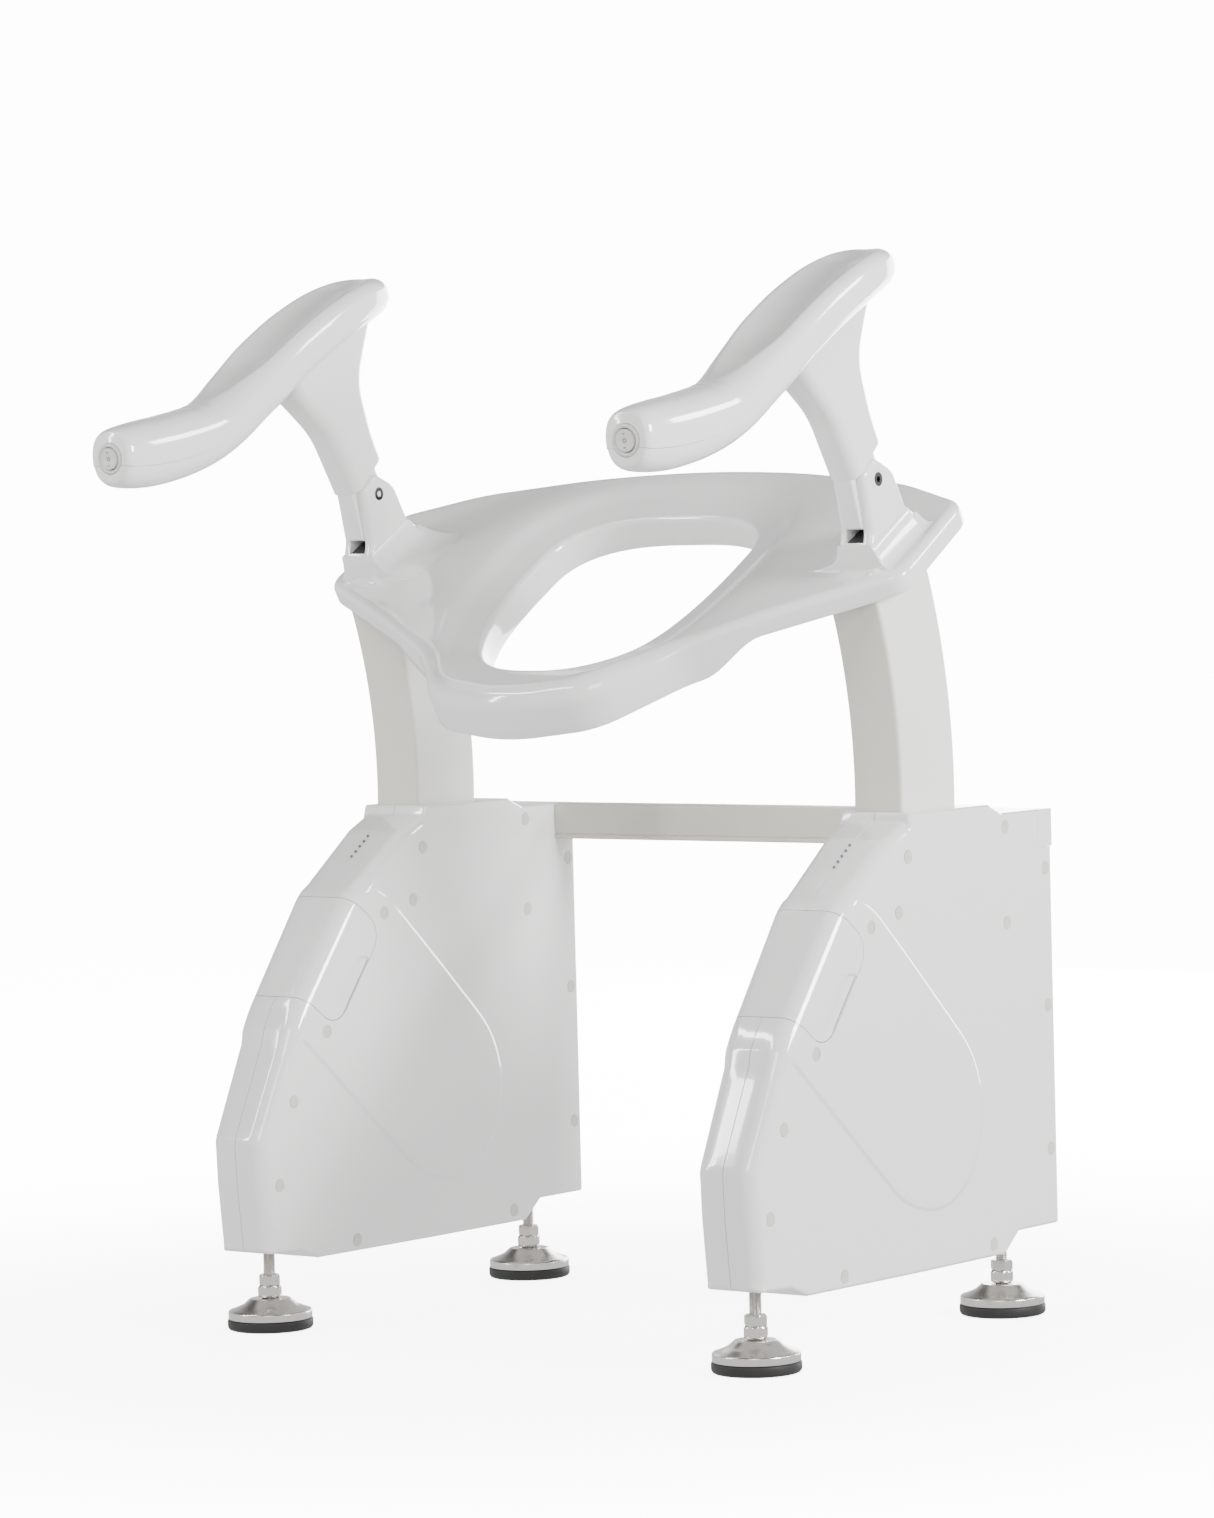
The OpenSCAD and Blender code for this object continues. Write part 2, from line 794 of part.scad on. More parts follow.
module foot_nut() {
    difference() {
        translate([0, 0, 41.02]) rotate([0, 0, 15]) cylinder(d = 22, h = 10.5, $fn = 6);
        cylinder(d = stem_d + 0.02, h = 80);
    }
}

module foot_cone() {
    difference() {
        rotate_extrude($fn = 96)
            polygon([
                [0, rubber_h + 0.02], [pad_d / 2, rubber_h + 0.02], [pad_d / 2, 17.5],
                [pad_d / 2 - 3, 18.5], [20.5, 28], [18.8, cone_z], [0, cone_z]]);
        translate([0, 0, ball_z]) sphere(r = 8 + run_gap);
        translate([0, 0, ball_z + 2]) cylinder(d = 15.4, h = 20);
    }
}

module foot_rubber() {
    rotate_extrude($fn = 96)
        polygon([[0, 0], [pad_d / 2 - 1, 0], [pad_d / 2 + 1, 3], [pad_d / 2 + 1, rubber_h - 1],
            [pad_d / 2, rubber_h], [0, rubber_h]]);
}

// ---------------------------------------------------------------- assembly

color(steel) left() chassis();  // chassis_left
color(white) left() housing_outer();  // housing_outer_left
color(white) left() housing_inner();  // housing_inner_left
color(dark_grey) left() gearmotor();  // gearmotor_left
color(steel) left() drive_pinion();  // drive_pinion_left
color(white) left() column();  // column_left
color(steel) left() rack();  // rack_left
color(white) left() battery_cover();  // battery_cover_left
color(dark_grey) left() battery_pack();  // battery_pack_left
color(white) hinge_block();  // hinge_block_left
color(white) arm_body();  // arm_body_left
color(white) arm_top();  // arm_top_left
color(brass) arm_bush();  // arm_bush_left
color(warm_white) switch_bezel();  // switch_bezel_left
color(warm_white) switch_rocker();  // switch_rocker_left
color(steel) at_foot(-foot_y) foot_stem();  // foot_stem_front_left
color(steel) at_foot(-foot_y) foot_nut();  // foot_nut_front_left
color(steel) at_foot(-foot_y) foot_cone();  // foot_cone_front_left
color(black) at_foot(-foot_y) foot_rubber();  // foot_rubber_front_left
color(steel) at_foot(foot_y) foot_stem();  // foot_stem_rear_left
color(steel) at_foot(foot_y) foot_nut();  // foot_nut_rear_left
color(steel) at_foot(foot_y) foot_cone();  // foot_cone_rear_left
color(black) at_foot(foot_y) foot_rubber();  // foot_rubber_rear_left
color(steel) right() chassis();  // chassis_right
color(white) right() housing_outer();  // housing_outer_right
color(white) right() housing_inner();  // housing_inner_right
color(dark_grey) right() gearmotor();  // gearmotor_right
color(steel) right() drive_pinion();  // drive_pinion_right
color(white) right() column();  // column_right
color(steel) right() rack();  // rack_right
color(white) right() battery_cover();  // battery_cover_right
color(dark_grey) right() battery_pack();  // battery_pack_right
color(white) mirror([1, 0, 0]) hinge_block();  // hinge_block_right
color(white) mirror([1, 0, 0]) arm_body();  // arm_body_right
color(white) mirror([1, 0, 0]) arm_top();  // arm_top_right
color(brass) mirror([1, 0, 0]) arm_bush();  // arm_bush_right
color(warm_white) mirror([1, 0, 0]) switch_bezel();  // switch_bezel_right
color(warm_white) mirror([1, 0, 0]) switch_rocker();  // switch_rocker_right
color(steel) mirror([1, 0, 0]) at_foot(-foot_y) foot_stem();  // foot_stem_front_right
color(steel) mirror([1, 0, 0]) at_foot(-foot_y) foot_nut();  // foot_nut_front_right
color(steel) mirror([1, 0, 0]) at_foot(-foot_y) foot_cone();  // foot_cone_front_right
color(black) mirror([1, 0, 0]) at_foot(-foot_y) foot_rubber();  // foot_rubber_front_right
color(steel) mirror([1, 0, 0]) at_foot(foot_y) foot_stem();  // foot_stem_rear_right
color(steel) mirror([1, 0, 0]) at_foot(foot_y) foot_nut();  // foot_nut_rear_right
color(steel) mirror([1, 0, 0]) at_foot(foot_y) foot_cone();  // foot_cone_rear_right
color(black) mirror([1, 0, 0]) at_foot(foot_y) foot_rubber();  // foot_rubber_rear_right
color(warm_white) both() plugs_one_side();  // screw_plugs
color(black) both() lights_one_side();  // charge_lights
color(steel) crossbar_tube();
color(warm_white) crossbar_cover();
color(steel) both() crossbar_bolts_side();  // crossbar_bolts
color(white) both() end_cover();  // crossbar_end_covers
color(black) both() guides();  // guide_pads
color(dark_grey) both() control_box_side();  // control_boxes
color(dark_grey) both() dock();  // battery_docks
color(brass) both() pinion_bush_pair();  // pinion_bushes
color(white) seat();
color(steel) both(0) seat_bracket();  // seat_brackets
color(steel) both(0) bracket_bolts();  // seat_bolts
color(steel) both(0) pivot_bolt();  // arm_pivot_bolts
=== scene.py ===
import bpy, bmesh, math
import numpy as np
from mathutils import Vector, Matrix
from mathutils.geometry import delaunay_2d_cdt

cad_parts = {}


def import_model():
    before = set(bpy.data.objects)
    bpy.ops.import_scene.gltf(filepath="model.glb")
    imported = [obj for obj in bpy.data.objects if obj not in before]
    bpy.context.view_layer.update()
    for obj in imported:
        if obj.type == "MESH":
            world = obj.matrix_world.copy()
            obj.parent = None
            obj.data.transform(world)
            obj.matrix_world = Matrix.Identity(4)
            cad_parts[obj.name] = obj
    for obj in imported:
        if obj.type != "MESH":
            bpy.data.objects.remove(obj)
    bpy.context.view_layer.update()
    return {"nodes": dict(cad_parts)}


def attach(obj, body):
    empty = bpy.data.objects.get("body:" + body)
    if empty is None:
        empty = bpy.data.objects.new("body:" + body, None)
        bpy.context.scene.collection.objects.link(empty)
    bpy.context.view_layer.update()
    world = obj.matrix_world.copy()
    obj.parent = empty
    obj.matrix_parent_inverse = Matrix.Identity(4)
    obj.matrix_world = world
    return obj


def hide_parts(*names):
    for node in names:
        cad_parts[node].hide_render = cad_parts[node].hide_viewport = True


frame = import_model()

MM = 0.001
SIDES = (("left", 1), ("right", -1))

#  driving sizes in millimetres: +X is the user's left, the front is -Y, the floor is Z = 0
SIDE_X = 284.0                  # middle of a side housing
ARM_X = 293.0                   # middle of a hinge block and of an arm's post
REST_X = 297.0                  # middle of an arm rest
SEAT_Z = 720                    # the seat's frame turns about Y = 0 at this height
TILT = math.radians(31)         # the raised seat's slope
PIVOT = (22.0, 70.0)            # arm hinge in the seat's frame: along the seat, above it
FOOT_Y = 201                    # feet stand this far in front of and behind the middle

# ------ materials


def node(nt, kind, **values):
    """A new shader node with its inputs set by name."""
    n = nt.nodes.new("ShaderNode" + kind)
    for key, value in values.items():
        n.inputs[key.replace("_", " ")].default_value = value
    return n


def blend(nt, fac, first, second):
    """A colour mix; first and second are colours or sockets."""
    mix = node(nt, "Mix")
    mix.data_type = "RGBA"
    nt.links.new(fac, mix.inputs[0])
    for k, value in ((6, first), (7, second)):
        if isinstance(value, tuple):
            mix.inputs[k].default_value = (*value, 1)
        else:
            nt.links.new(value, mix.inputs[k])
    return mix.outputs[2]


def material(name, base, rough=0.3, metal=0.0, coat=0.0, bump=0.0, bump_scale=400.0, vary=0.02, aniso=0.0,
             streak=None):
    """A coat with a broad variation of tone, and a fine grain in its roughness and bump."""
    spread = 0.05       # of the roughness, up and down
    m = bpy.data.materials.new(name)
    m.use_nodes = True
    nt = m.node_tree
    link = nt.links.new
    b = nt.nodes["Principled BSDF"]
    tc = node(nt, "TexCoord")
    mp = node(nt, "Mapping")
    link(tc.outputs["Object"], mp.inputs["Vector"])
    if streak:
        mp.inputs["Scale"].default_value = streak
    tone = node(nt, "TexNoise", Scale=6.0, Detail=4.0)
    link(tc.outputs["Object"], tone.inputs["Vector"])
    link(blend(nt, tone.outputs["Fac"], tuple(max(0, c * (1 - vary)) for c in base),
               tuple(min(1, c * (1 + vary)) for c in base)), b.inputs["Base Color"])
    grain = node(nt, "TexNoise", Scale=bump_scale, Detail=3.0)
    link(mp.outputs["Vector"], grain.inputs["Vector"])
    mr = node(nt, "MapRange", To_Min=max(0.02, rough - spread), To_Max=rough + spread)
    link(grain.outputs["Fac"], mr.inputs["Value"])
    link(mr.outputs["Result"], b.inputs["Roughness"])
    if bump:
        bp = node(nt, "Bump", Strength=bump, Distance=0.0004)
        link(grain.outputs["Fac"], bp.inputs["Height"])
        link(bp.outputs["Normal"], b.inputs["Normal"])
    for key, value in (("Metallic", metal), ("IOR", 1.46), ("Coat Weight", coat), ("Coat Roughness", 0.04),
                       ("Anisotropic", aniso)):
        b.inputs[key].default_value = value
    return m


WHITE = material("white_gloss", (0.80, 0.80, 0.79), rough=0.14, coat=1.0, bump=0.03, bump_scale=260,
                 vary=0.01)
COLUMN = material("column_coat", (0.76, 0.755, 0.735), rough=0.38, coat=0.15, bump=0.10, bump_scale=1400,
                  vary=0.012)
BEIGE = material("bar_beige", (0.60, 0.575, 0.52), rough=0.4, bump=0.12, bump_scale=1200, vary=0.02)
PLUG = material("plug_beige", (0.56, 0.54, 0.48), rough=0.45, bump=0.15, bump_scale=900, vary=0.03)
STEEL = material("stainless", (0.62, 0.60, 0.57), rough=0.24, metal=1.0, bump=0.12, bump_scale=90,
                 streak=(1, 1, 14), aniso=0.4, vary=0.04)
STEEL_DULL = material("zinc_steel", (0.45, 0.45, 0.44), rough=0.42, metal=1.0, bump=0.2, bump_scale=500,
                      vary=0.06)
RUBBER = material("rubber", (0.012, 0.012, 0.012), rough=0.55, bump=0.3, bump_scale=900, vary=0.2)
DARK = material("dark_plastic", (0.03, 0.03, 0.032), rough=0.5, bump=0.3, bump_scale=700, vary=0.1)
BRONZE = material("bronze", (0.55, 0.40, 0.18), rough=0.35, metal=1.0, bump=0.15, bump_scale=400, vary=0.05)
BOLT = material("bolt_dark", (0.13, 0.12, 0.125), rough=0.22, metal=1.0, bump=0.1, bump_scale=600, vary=0.05)
BEZEL = material("bezel", (0.62, 0.615, 0.59), rough=0.28, coat=0.3, bump=0.05, bump_scale=600)
MARK = material("mark", (0.16, 0.16, 0.17), rough=0.5, bump=0.1, bump_scale=600, vary=0.05)


def paint_front_shade(m, color):
    """Painted shade: a darker, warmer tone on the faces that point to the object's front, standing in for the
    shade and the warm reflection on them.
    """
    nt = m.node_tree
    base = nt.nodes["Principled BSDF"].inputs["Base Color"]
    tc = node(nt, "TexCoord")
    sep = node(nt, "SeparateXYZ")
    nt.links.new(tc.outputs["Normal"], sep.inputs[0])
    mr = node(nt, "MapRange", From_Min=-0.45, From_Max=-0.8)
    nt.links.new(sep.outputs["Y"], mr.inputs["Value"])
    nt.links.new(blend(nt, mr.outputs["Result"], base.links[0].from_socket, color), base)


# painted shade: the columns' front-facing faces get a darker, warmer tone for the shade and warm reflection
# there
paint_front_shade(COLUMN, (0.66, 0.635, 0.575))

# ------ mesh helpers


def add(name, data):
    """A new object in the scene."""
    ob = bpy.data.objects.new(name, data)
    bpy.context.scene.collection.objects.link(ob)
    return ob


def make(name, verts, faces, mat, body, replaces=(), angle=38):
    """Object from vertices in millimetres; a helper shape has no body."""
    me = bpy.data.meshes.new(name)
    me.from_pydata([(v[0] * MM, v[1] * MM, v[2] * MM) for v in verts], [], [tuple(f) for f in faces])
    me.validate()
    ob = add(name, me)
    bm = bmesh.new()
    bm.from_mesh(me)
    bmesh.ops.remove_doubles(bm, verts=bm.verts, dist=1e-6)
    bmesh.ops.dissolve_degenerate(bm, edges=bm.edges, dist=1e-7)
    bmesh.ops.recalc_face_normals(bm, faces=bm.faces)
    bm.to_mesh(me)
    bm.free()
    finish_piece(ob, mat, body, replaces, angle)
    return ob


def finish_piece(ob, mat, body, replaces, angle=38):
    me = ob.data
    me.materials.clear()
    me.materials.append(mat)
    shade(ob, angle)
    if body:
        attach(ob, body)
        if replaces:
            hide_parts(*replaces)


def shade(ob, angle=38):
    me = ob.data
    me.polygons.foreach_set("use_smooth", [True] * len(me.polygons))
    me.set_sharp_from_angle(angle=math.radians(angle))
    me.update()


def apply_all(ob):
    """Turns an object's modifiers into its mesh."""
    dg = bpy.context.evaluated_depsgraph_get()
    me = bpy.data.meshes.new_from_object(ob.evaluated_get(dg))
    ob.modifiers.clear()
    old = ob.data
    ob.data = me
    bpy.data.meshes.remove(old)


def boolean(ob, cutter, op="DIFFERENCE"):
    """Applies a cutter to an object and removes the cutter."""
    m = ob.modifiers.new("b", "BOOLEAN")
    m.object = cutter
    m.operation = op
    m.solver = "EXACT"
    apply_all(ob)
    drop(cutter)


def unit(v):
    v = np.array(v, float)
    return v / np.linalg.norm(v)


def rounded(pts, steps=9):
    """Corners [x, y, r] as a closed outline; every corner gives steps + 1 points."""
    out = []
    k = len(pts)
    for i in range(k):
        p, c, n = (np.array(pts[(i + j) % k][:2], float) for j in (-1, 0, 1))
        r = pts[i][2]
        u, v = unit(p - c), unit(n - c)
        half = math.acos(max(-1, min(1, float(u @ v)))) / 2
        reach = r / math.tan(half)
        mid = c + unit(u + v) * r / math.sin(half)
        a, b = c + u * reach - mid, c + v * reach - mid
        for j in range(steps + 1):
            w = a * (1 - j / steps) + b * j / steps
            out.append(mid + unit(w) * np.linalg.norm(a))
    return np.array(out)


def inset(corners, dist):
    """Anticlockwise corners moved inwards; dist is one value per edge (corner i to i + 1)."""
    k = len(corners)
    out = []
    for i in range(k):
        p, c, n = (np.array(corners[(i + j) % k][:2], float) for j in (-1, 0, 1))
        a, b = unit(c - p), unit(n - c)
        na, nb = np.array([-a[1], a[0]]), np.array([-b[1], b[0]])
        da, db = dist[(i - 1) % k], dist[i]
        m = np.array([na, nb])
        q = np.linalg.solve(m, np.array([na @ c + da, nb @ c + db]))
        turn = a[0] * b[1] - a[1] * b[0]
        r = corners[i][2] - math.copysign((da + db) / 2, turn)
        out.append([q[0], q[1], max(0.8, r)])
    return out


def dense(pts, per_edge, steps):
    """Adds evenly spaced points on the straight runs between corner arcs."""
    out = []
    k = len(pts)
    per = steps + 1
    for c in range(k // per):
        arc = pts[c * per:(c + 1) * per]
        nxt = pts[((c + 1) * per) % k]
        out.extend(arc)
        m = per_edge[c]
        for j in range(1, m):
            out.append(arc[-1] * (1 - j / m) + nxt * j / m)
    return np.array(out)


def resample(line, count):
    """Evenly spaced points on a closed outline."""
    q = np.vstack([line, line[:1]])
    s = np.concatenate([[0], np.cumsum(np.linalg.norm(np.diff(q, axis=0), axis=1))])
    t = np.linspace(0, s[-1], count + 1)[:-1]
    return np.stack([np.interp(t, s, q[:, 0]), np.interp(t, s, q[:, 1])], 1)


def normals(line):
    """Inward normals of an anticlockwise outline."""
    t = np.roll(line, -1, 0) - np.roll(line, 1, 0)
    t /= np.linalg.norm(t, axis=1)[:, None]
    return np.stack([-t[:, 1], t[:, 0]], 1)


def softened(line, reach):
    """Outline with its corners blended over reach points to each side, twice."""
    for _ in range(2):
        line = sum(np.roll(line, k, 0) for k in range(-reach, reach + 1)) / (2 * reach + 1)
    return line


def smoothstep(a, b, x):
    t = np.clip((x - a) / (b - a), 0, 1)
    return t * t * (3 - 2 * t)


def in_poly(p, poly):
    x, y = p[:, 0], p[:, 1]
    hit = np.zeros(len(p), bool)
    q = np.roll(poly, -1, 0)
    for (x1, y1), (x2, y2) in zip(poly, q):
        if y1 == y2:
            continue
        c = ((y1 > y) != (y2 > y)) & (x < (x2 - x1) * (y - y1) / (y2 - y1) + x1)
        hit ^= c
    return hit


def signed_distance(p, poly):
    """Positive inside the outline."""
    q = np.roll(poly, -1, 0)
    best = np.full(len(p), 1e9)
    for a, b in zip(poly, q):
        d = b - a
        l2 = d @ d
        if l2 < 1e-12:
            continue
        t = np.clip(((p - a) @ d) / l2, 0, 1)
        best = np.minimum(best, np.linalg.norm(p - (a + t[:, None] * d), axis=1))
    return np.where(in_poly(p, poly), best, -best)


def bands(rings, n):
    """Quads between closed rings of n points each."""
    return [(k * n + i, k * n + (i + 1) % n, (k + 1) * n + (i + 1) % n, (k + 1) * n + i)
            for k in range(rings - 1) for i in range(n)]


def prism(name, outline, x0, x1):
    """Closed solid from an outline in (y, z) between x0 and x1, in millimetres."""
    n = len(outline)
    v = [(x0, p[0], p[1]) for p in outline] + [(x1, p[0], p[1]) for p in outline]
    f = [tuple(range(n)), tuple(range(2 * n - 1, n - 1, -1))]
    f += [(i, (i + 1) % n, n + (i + 1) % n, n + i) for i in range(n)]
    return make(name, v, f, WHITE, None)


def box_mesh(name, lo, hi):
    return prism(name, [(lo[1], lo[2]), (hi[1], lo[2]), (hi[1], hi[2]), (lo[1], hi[2])], lo[0], hi[0])


def join(obs, name):
    bm = bmesh.new()
    for o in obs:
        bm.from_mesh(o.data)
    me = bpy.data.meshes.new(name)
    bm.to_mesh(me)
    bm.free()
    drop(*obs)
    return add(name, me)


def drop(*obs):
    for o in obs:
        bpy.data.objects.remove(o)


# ------ side housings

#  side view of a housing: corners [y, z, r]
CASE = [[242, 84, 3], [242, 478, 4], [158, 478, 5], [137, 487, 5], [6, 487, 3], [3.5, 478.5, 1.5],
        [-30, 463, 50], [-104, 410, 90], [-190, 298, 160], [-246, 184, 22], [-244, 140, 120],
        [-237, 76, 7], [-190, 74, 3], [-166, 65, 6], [149, 65, 4], [173, 84, 5]]
#  fillet radius on each edge, in the same order
FILLET = [4.5, 4, 4, 4, 5, 12, 14, 15, 15, 15, 15, 5, 4, 4, 4, 4]
#  points on each straight run, in the same order
RUNS = [14, 8, 3, 12, 2, 4, 6, 8, 8, 4, 6, 5, 3, 26, 3, 7]
#  the raised panel, clockwise from the corner above the battery
PANEL = [[-66, 414, 6], [100, 262, 60], [120, 205, 60], [92, 138, 45], [40, 114, 40],
         [-20, 128, 40], [-196, 284, 6], [-300, 284, 1], [-300, 470, 1], [-125, 414, 1]]
PANEL_LINE = softened(resample(rounded(PANEL, 10), 230), 3)
#  screw plugs [y, z]
PLUGS = [(-1, 447), (-17, 397), (-63, 387), (162, 465), (230, 422), (162, 375), (230, 292), (230, 156),
         (-150, 280), (-197, 217), (-220, 140), (-112, 76), (128, 77)]
PLUG_HOLE = 6.05
#  lower corner of the battery on the housing's front face, and the slope of that face
BAY_Y, BAY_Z, BAY_SLOPE = -178.0, 313.0, math.radians(52.8)
BAY_GAP = 0.35
HALF_WIDTH, TAPER = 40.0, 8.0 / 246.0       # a housing narrows towards the front


def to_bay(p):
    """(y, z) as (distance up the front face, depth into the housing)."""
    c, s = math.cos(BAY_SLOPE), math.sin(BAY_SLOPE)
    y, z = p[:, 0] - BAY_Y, p[:, 1] - BAY_Z
    return np.stack([y * c + z * s, y * s - z * c], 1)


def from_bay(q):
    c, s = math.cos(BAY_SLOPE), math.sin(BAY_SLOPE)
    return np.stack([BAY_Y + q[:, 0] * c + q[:, 1] * s, BAY_Z + q[:, 0] * s - q[:, 1] * c], 1)


def half_at(y):
    """Half width of a housing, level behind the middle and tapering in front, with a soft bend between."""
    lin = np.where(y > 0, HALF_WIDTH, HALF_WIDTH + TAPER * y)
    soft = HALF_WIDTH - TAPER * np.where(y > 25, 0, np.where(y < -25, -y, (25 - y) ** 2 / 100.0))
    return np.minimum(soft, lin)


def relief(p):
    """Height of the raised panel."""
    return 2.0 * smoothstep(0, 4.6, signed_distance(p, PANEL_LINE))


def proud(p):
    """The front face stands a little proud around the battery."""
    q = to_bay(p)
    front = smoothstep(26, 12, q[:, 1])
    return 2.8 * front * smoothstep(-37.5, -35.5, q[:, 0]) * smoothstep(138, 108, q[:, 0])


STEPS = 9


def case_ring(dist):
    """The housing's outline moved inwards, always with the same number of points."""
    return dense(rounded(inset(CASE, dist), STEPS), RUNS, STEPS)


def side_rings(seam):
    """Rings from the middle seam out to the flat side face: list of (x, outline)."""
    rings = []
    base = case_ring([0.0] * len(CASE))
    pr = proud(base)[:, None] * -normals(base)
    if seam:
        ins = case_ring([0.45] * len(CASE))      # the seam is a narrow V groove
        rings.append((np.full(len(base), 0.12), ins + pr))
        rings.append((np.full(len(base), 0.5), base + pr))
    else:
        rings.append((np.full(len(base), 0.0), base + pr))
    for k in range(STEPS + 1):
        a = math.pi / 2 * k / STEPS
        o = case_ring([r * (1 - math.cos(a)) for r in FILLET])
        x = half_at(o[:, 0]) - RING_RADIUS + RING_RADIUS * math.sin(a) + relief(o) * math.sin(a)
        if k == 0:
            rings.append((x * 0.5, base + pr))
        rings.append((x, o + pr * math.cos(a)))
    return rings


def radius_per_point():
    """The fillet radius at every point of a case ring."""
    out = []
    per = STEPS + 1
    k = len(CASE)
    for c in range(k):
        a, b = FILLET[(c - 1) % k], FILLET[c]
        for j in range(per):
            out.append(a + (b - a) * j / STEPS)
        out += [b] * (RUNS[c] - 1)
    return np.array(out)


RING_RADIUS = radius_per_point()


def scoop(p):
    """Depth of the finger recess in the rear edge of a battery lid."""
    q = to_bay(p)
    d = smoothstep(33, 50, q[:, 1]) * smoothstep(81, 78.5, q[:, 0] + 10 * smoothstep(50, 36, q[:, 1]))
    return 2.4 * d * smoothstep(-6, 30, q[:, 0])


def face_mesh(edge_pts, edge_x, with_plugs=True):
    """Flat side face inside edge_pts, with the raised panel and the plug holes.
    A battery lid has no plugs, and has a finger recess."""
    pts = [tuple(p) for p in edge_pts]
    n = len(pts)
    edges = [(i, (i + 1) % n) for i in range(n)]

    def loop(poly):
        s = len(pts)
        pts.extend(tuple(p) for p in poly)
        edges.extend((s + i, s + (i + 1) % len(poly)) for i in range(len(poly)))

    holes = []
    if with_plugs:
        a = np.linspace(0, 2 * math.pi, 33)[:-1]
        for y, z in PLUGS:
            for r in (PLUG_HOLE, PLUG_HOLE + 0.45, PLUG_HOLE + 1.15):
                loop(np.stack([y + r * np.cos(a), z + r * np.sin(a)], 1))
            holes.append((y, z))
    inner = np.array(edge_pts)
    # loops that follow the panel's step, just outside it and across its slope
    for d in (-0.4, 0.7, 1.6, 2.7, 3.8, 5.0):
        line = PANEL_LINE - normals(PANEL_LINE) * d
        ins = signed_distance(line, inner) > 1.5
        s = len(pts)
        pts.extend(tuple(p) for p in line)
        for i in range(len(line)):
            j = (i + 1) % len(line)
            if ins[i] and ins[j]:
                edges.append((s + i, s + j))
    # a grid for the rest of the face, clear of the loops
    gy, gz = np.meshgrid(np.arange(-236, 240, 14.0), np.arange(70, 486, 14.0))
    g = np.stack([gy.ravel(), gz.ravel()], 1)
    g = g[signed_distance(g, inner) > 4]
    sp = signed_distance(g, PANEL_LINE)
    g = g[(sp < -4) | (sp > 9)]
    for y, z in holes:
        g = g[np.hypot(g[:, 0] - y, g[:, 1] - z) > 10]
    if not with_plugs:      # a finer grid where the finger recess is
        q = to_bay(g)
        g = g[(q[:, 0] < -6) | (q[:, 0] > 96) | (q[:, 1] < 26) | (q[:, 1] > 60)]
        hs, hd = np.meshgrid(np.arange(-4, 94, 1.6), np.arange(30, 57, 2.2))
        q = from_bay(np.stack([hs.ravel(), hd.ravel()], 1))
        sp = signed_distance(q, PANEL_LINE)
        g = np.vstack([g, q[(signed_distance(q, inner) > 3) & ((sp < -1.5) | (sp > 7))]])
    pts.extend(tuple(p) for p in g)
    v, _, f, _, _, _ = delaunay_2d_cdt([Vector(p) for p in pts], edges, [], 0, 1e-4)
    v = np.array([tuple(p) for p in v])
    f = np.array(f)
    cen = v[f].mean(1)
    keep = in_poly(cen, inner)
    for y, z in holes:
        keep &= np.hypot(cen[:, 0] - y, cen[:, 1] - z) > PLUG_HOLE - 0.01
    f = f[keep]
    x = half_at(v[:, 0]) + relief(v)
    if not with_plugs:
        x = x - scoop(v)
    for y, z in holes:
        r = np.hypot(v[:, 0] - y, v[:, 1] - z)
        x = np.where(r < PLUG_HOLE + 0.15, x - 0.45, x)
    # vertices of the face's edge keep the ring's own x
    for i in range(n):
        j = np.argmin(np.hypot(v[:, 0] - edge_pts[i][0], v[:, 1] - edge_pts[i][1]))
        x[j] = edge_x[i]
    return v, x, f


def half_shell(seam=True, plugs=True):
    """One half of a housing, from the seam at x = 0 out to the side face."""
    rings = side_rings(seam)
    n = len(rings[0][1])
    verts = [(x[i], o[i][0], o[i][1]) for x, o in rings for i in range(n)]
    faces = bands(len(rings), n)
    x, o = rings[-1]
    fv, fx, ff = face_mesh(o, x, plugs)
    s = len(verts)
    verts += [(fx[i], fv[i][0], fv[i][1]) for i in range(len(fv))]
    faces += [tuple(int(q) + s for q in t) for t in ff]
    return verts, faces


def thick(ob, t):
    """Gives a surface a wall, inwards."""
    m = ob.modifiers.new("s", "SOLIDIFY")
    m.thickness = t * MM
    m.offset = -1
    m.use_even_offset = False
    apply_all(ob)


def bay_outline(gap):
    """Outline of the battery bay in (y, z), open at the front face; gap widens it."""
    out = 40.0
    length, depth, r = 114.0 + gap, 54.0 + gap, 24.0 + gap
    a = np.linspace(0, math.pi / 2, 10)
    q = [(-gap, -out)]
    q += [(-gap + r - r * math.cos(t), depth - r + r * math.sin(t)) for t in a]
    q += [(length - r + r * math.sin(t), depth - r + r * math.cos(t)) for t in a]
    q += [(length, -out)]
    return from_bay(np.array(q))


def housings():
    outer_v, faces = half_shell()
    for name, flip_x in (("outer", 1), ("inner", -1)):
        v = [(p[0] * flip_x, p[1], p[2]) for p in outer_v]
        ob = make("hs_" + name, v, faces, WHITE, None)
        thick(ob, 2.6)
        # openings for the battery, the column and the stems of the feet
        cut = [prism("bay", bay_outline(BAY_GAP), -60, 60), box_mesh("top", (-28, 8.8, 440), (28, 101.2, 500))]
        cut += [box_mesh("foot", (-8, y - 8, 50), (8, y + 8, 130)) for y in (-FOOT_Y, FOOT_Y)]
        if name == "outer":     # the notch at the rear top corner
            cut.append(box_mesh("notch", (32.9, 217.8, 442.3), (60, 260, 520)))
        else:                   # the crossbar's tube
            cut.append(box_mesh("tube", (-60, 213.7, 448.7), (-20, 233.3, 472.3)))
        boolean(ob, join(cut, "cut"))
        for side, sx in SIDES:
            o = add("case_%s_%s" % (name, side), ob.data.copy())
            place_side(o, sx)
            finish_piece(o, WHITE, "base", ["housing_%s_%s" % (name, side)], 32)
        drop(ob)


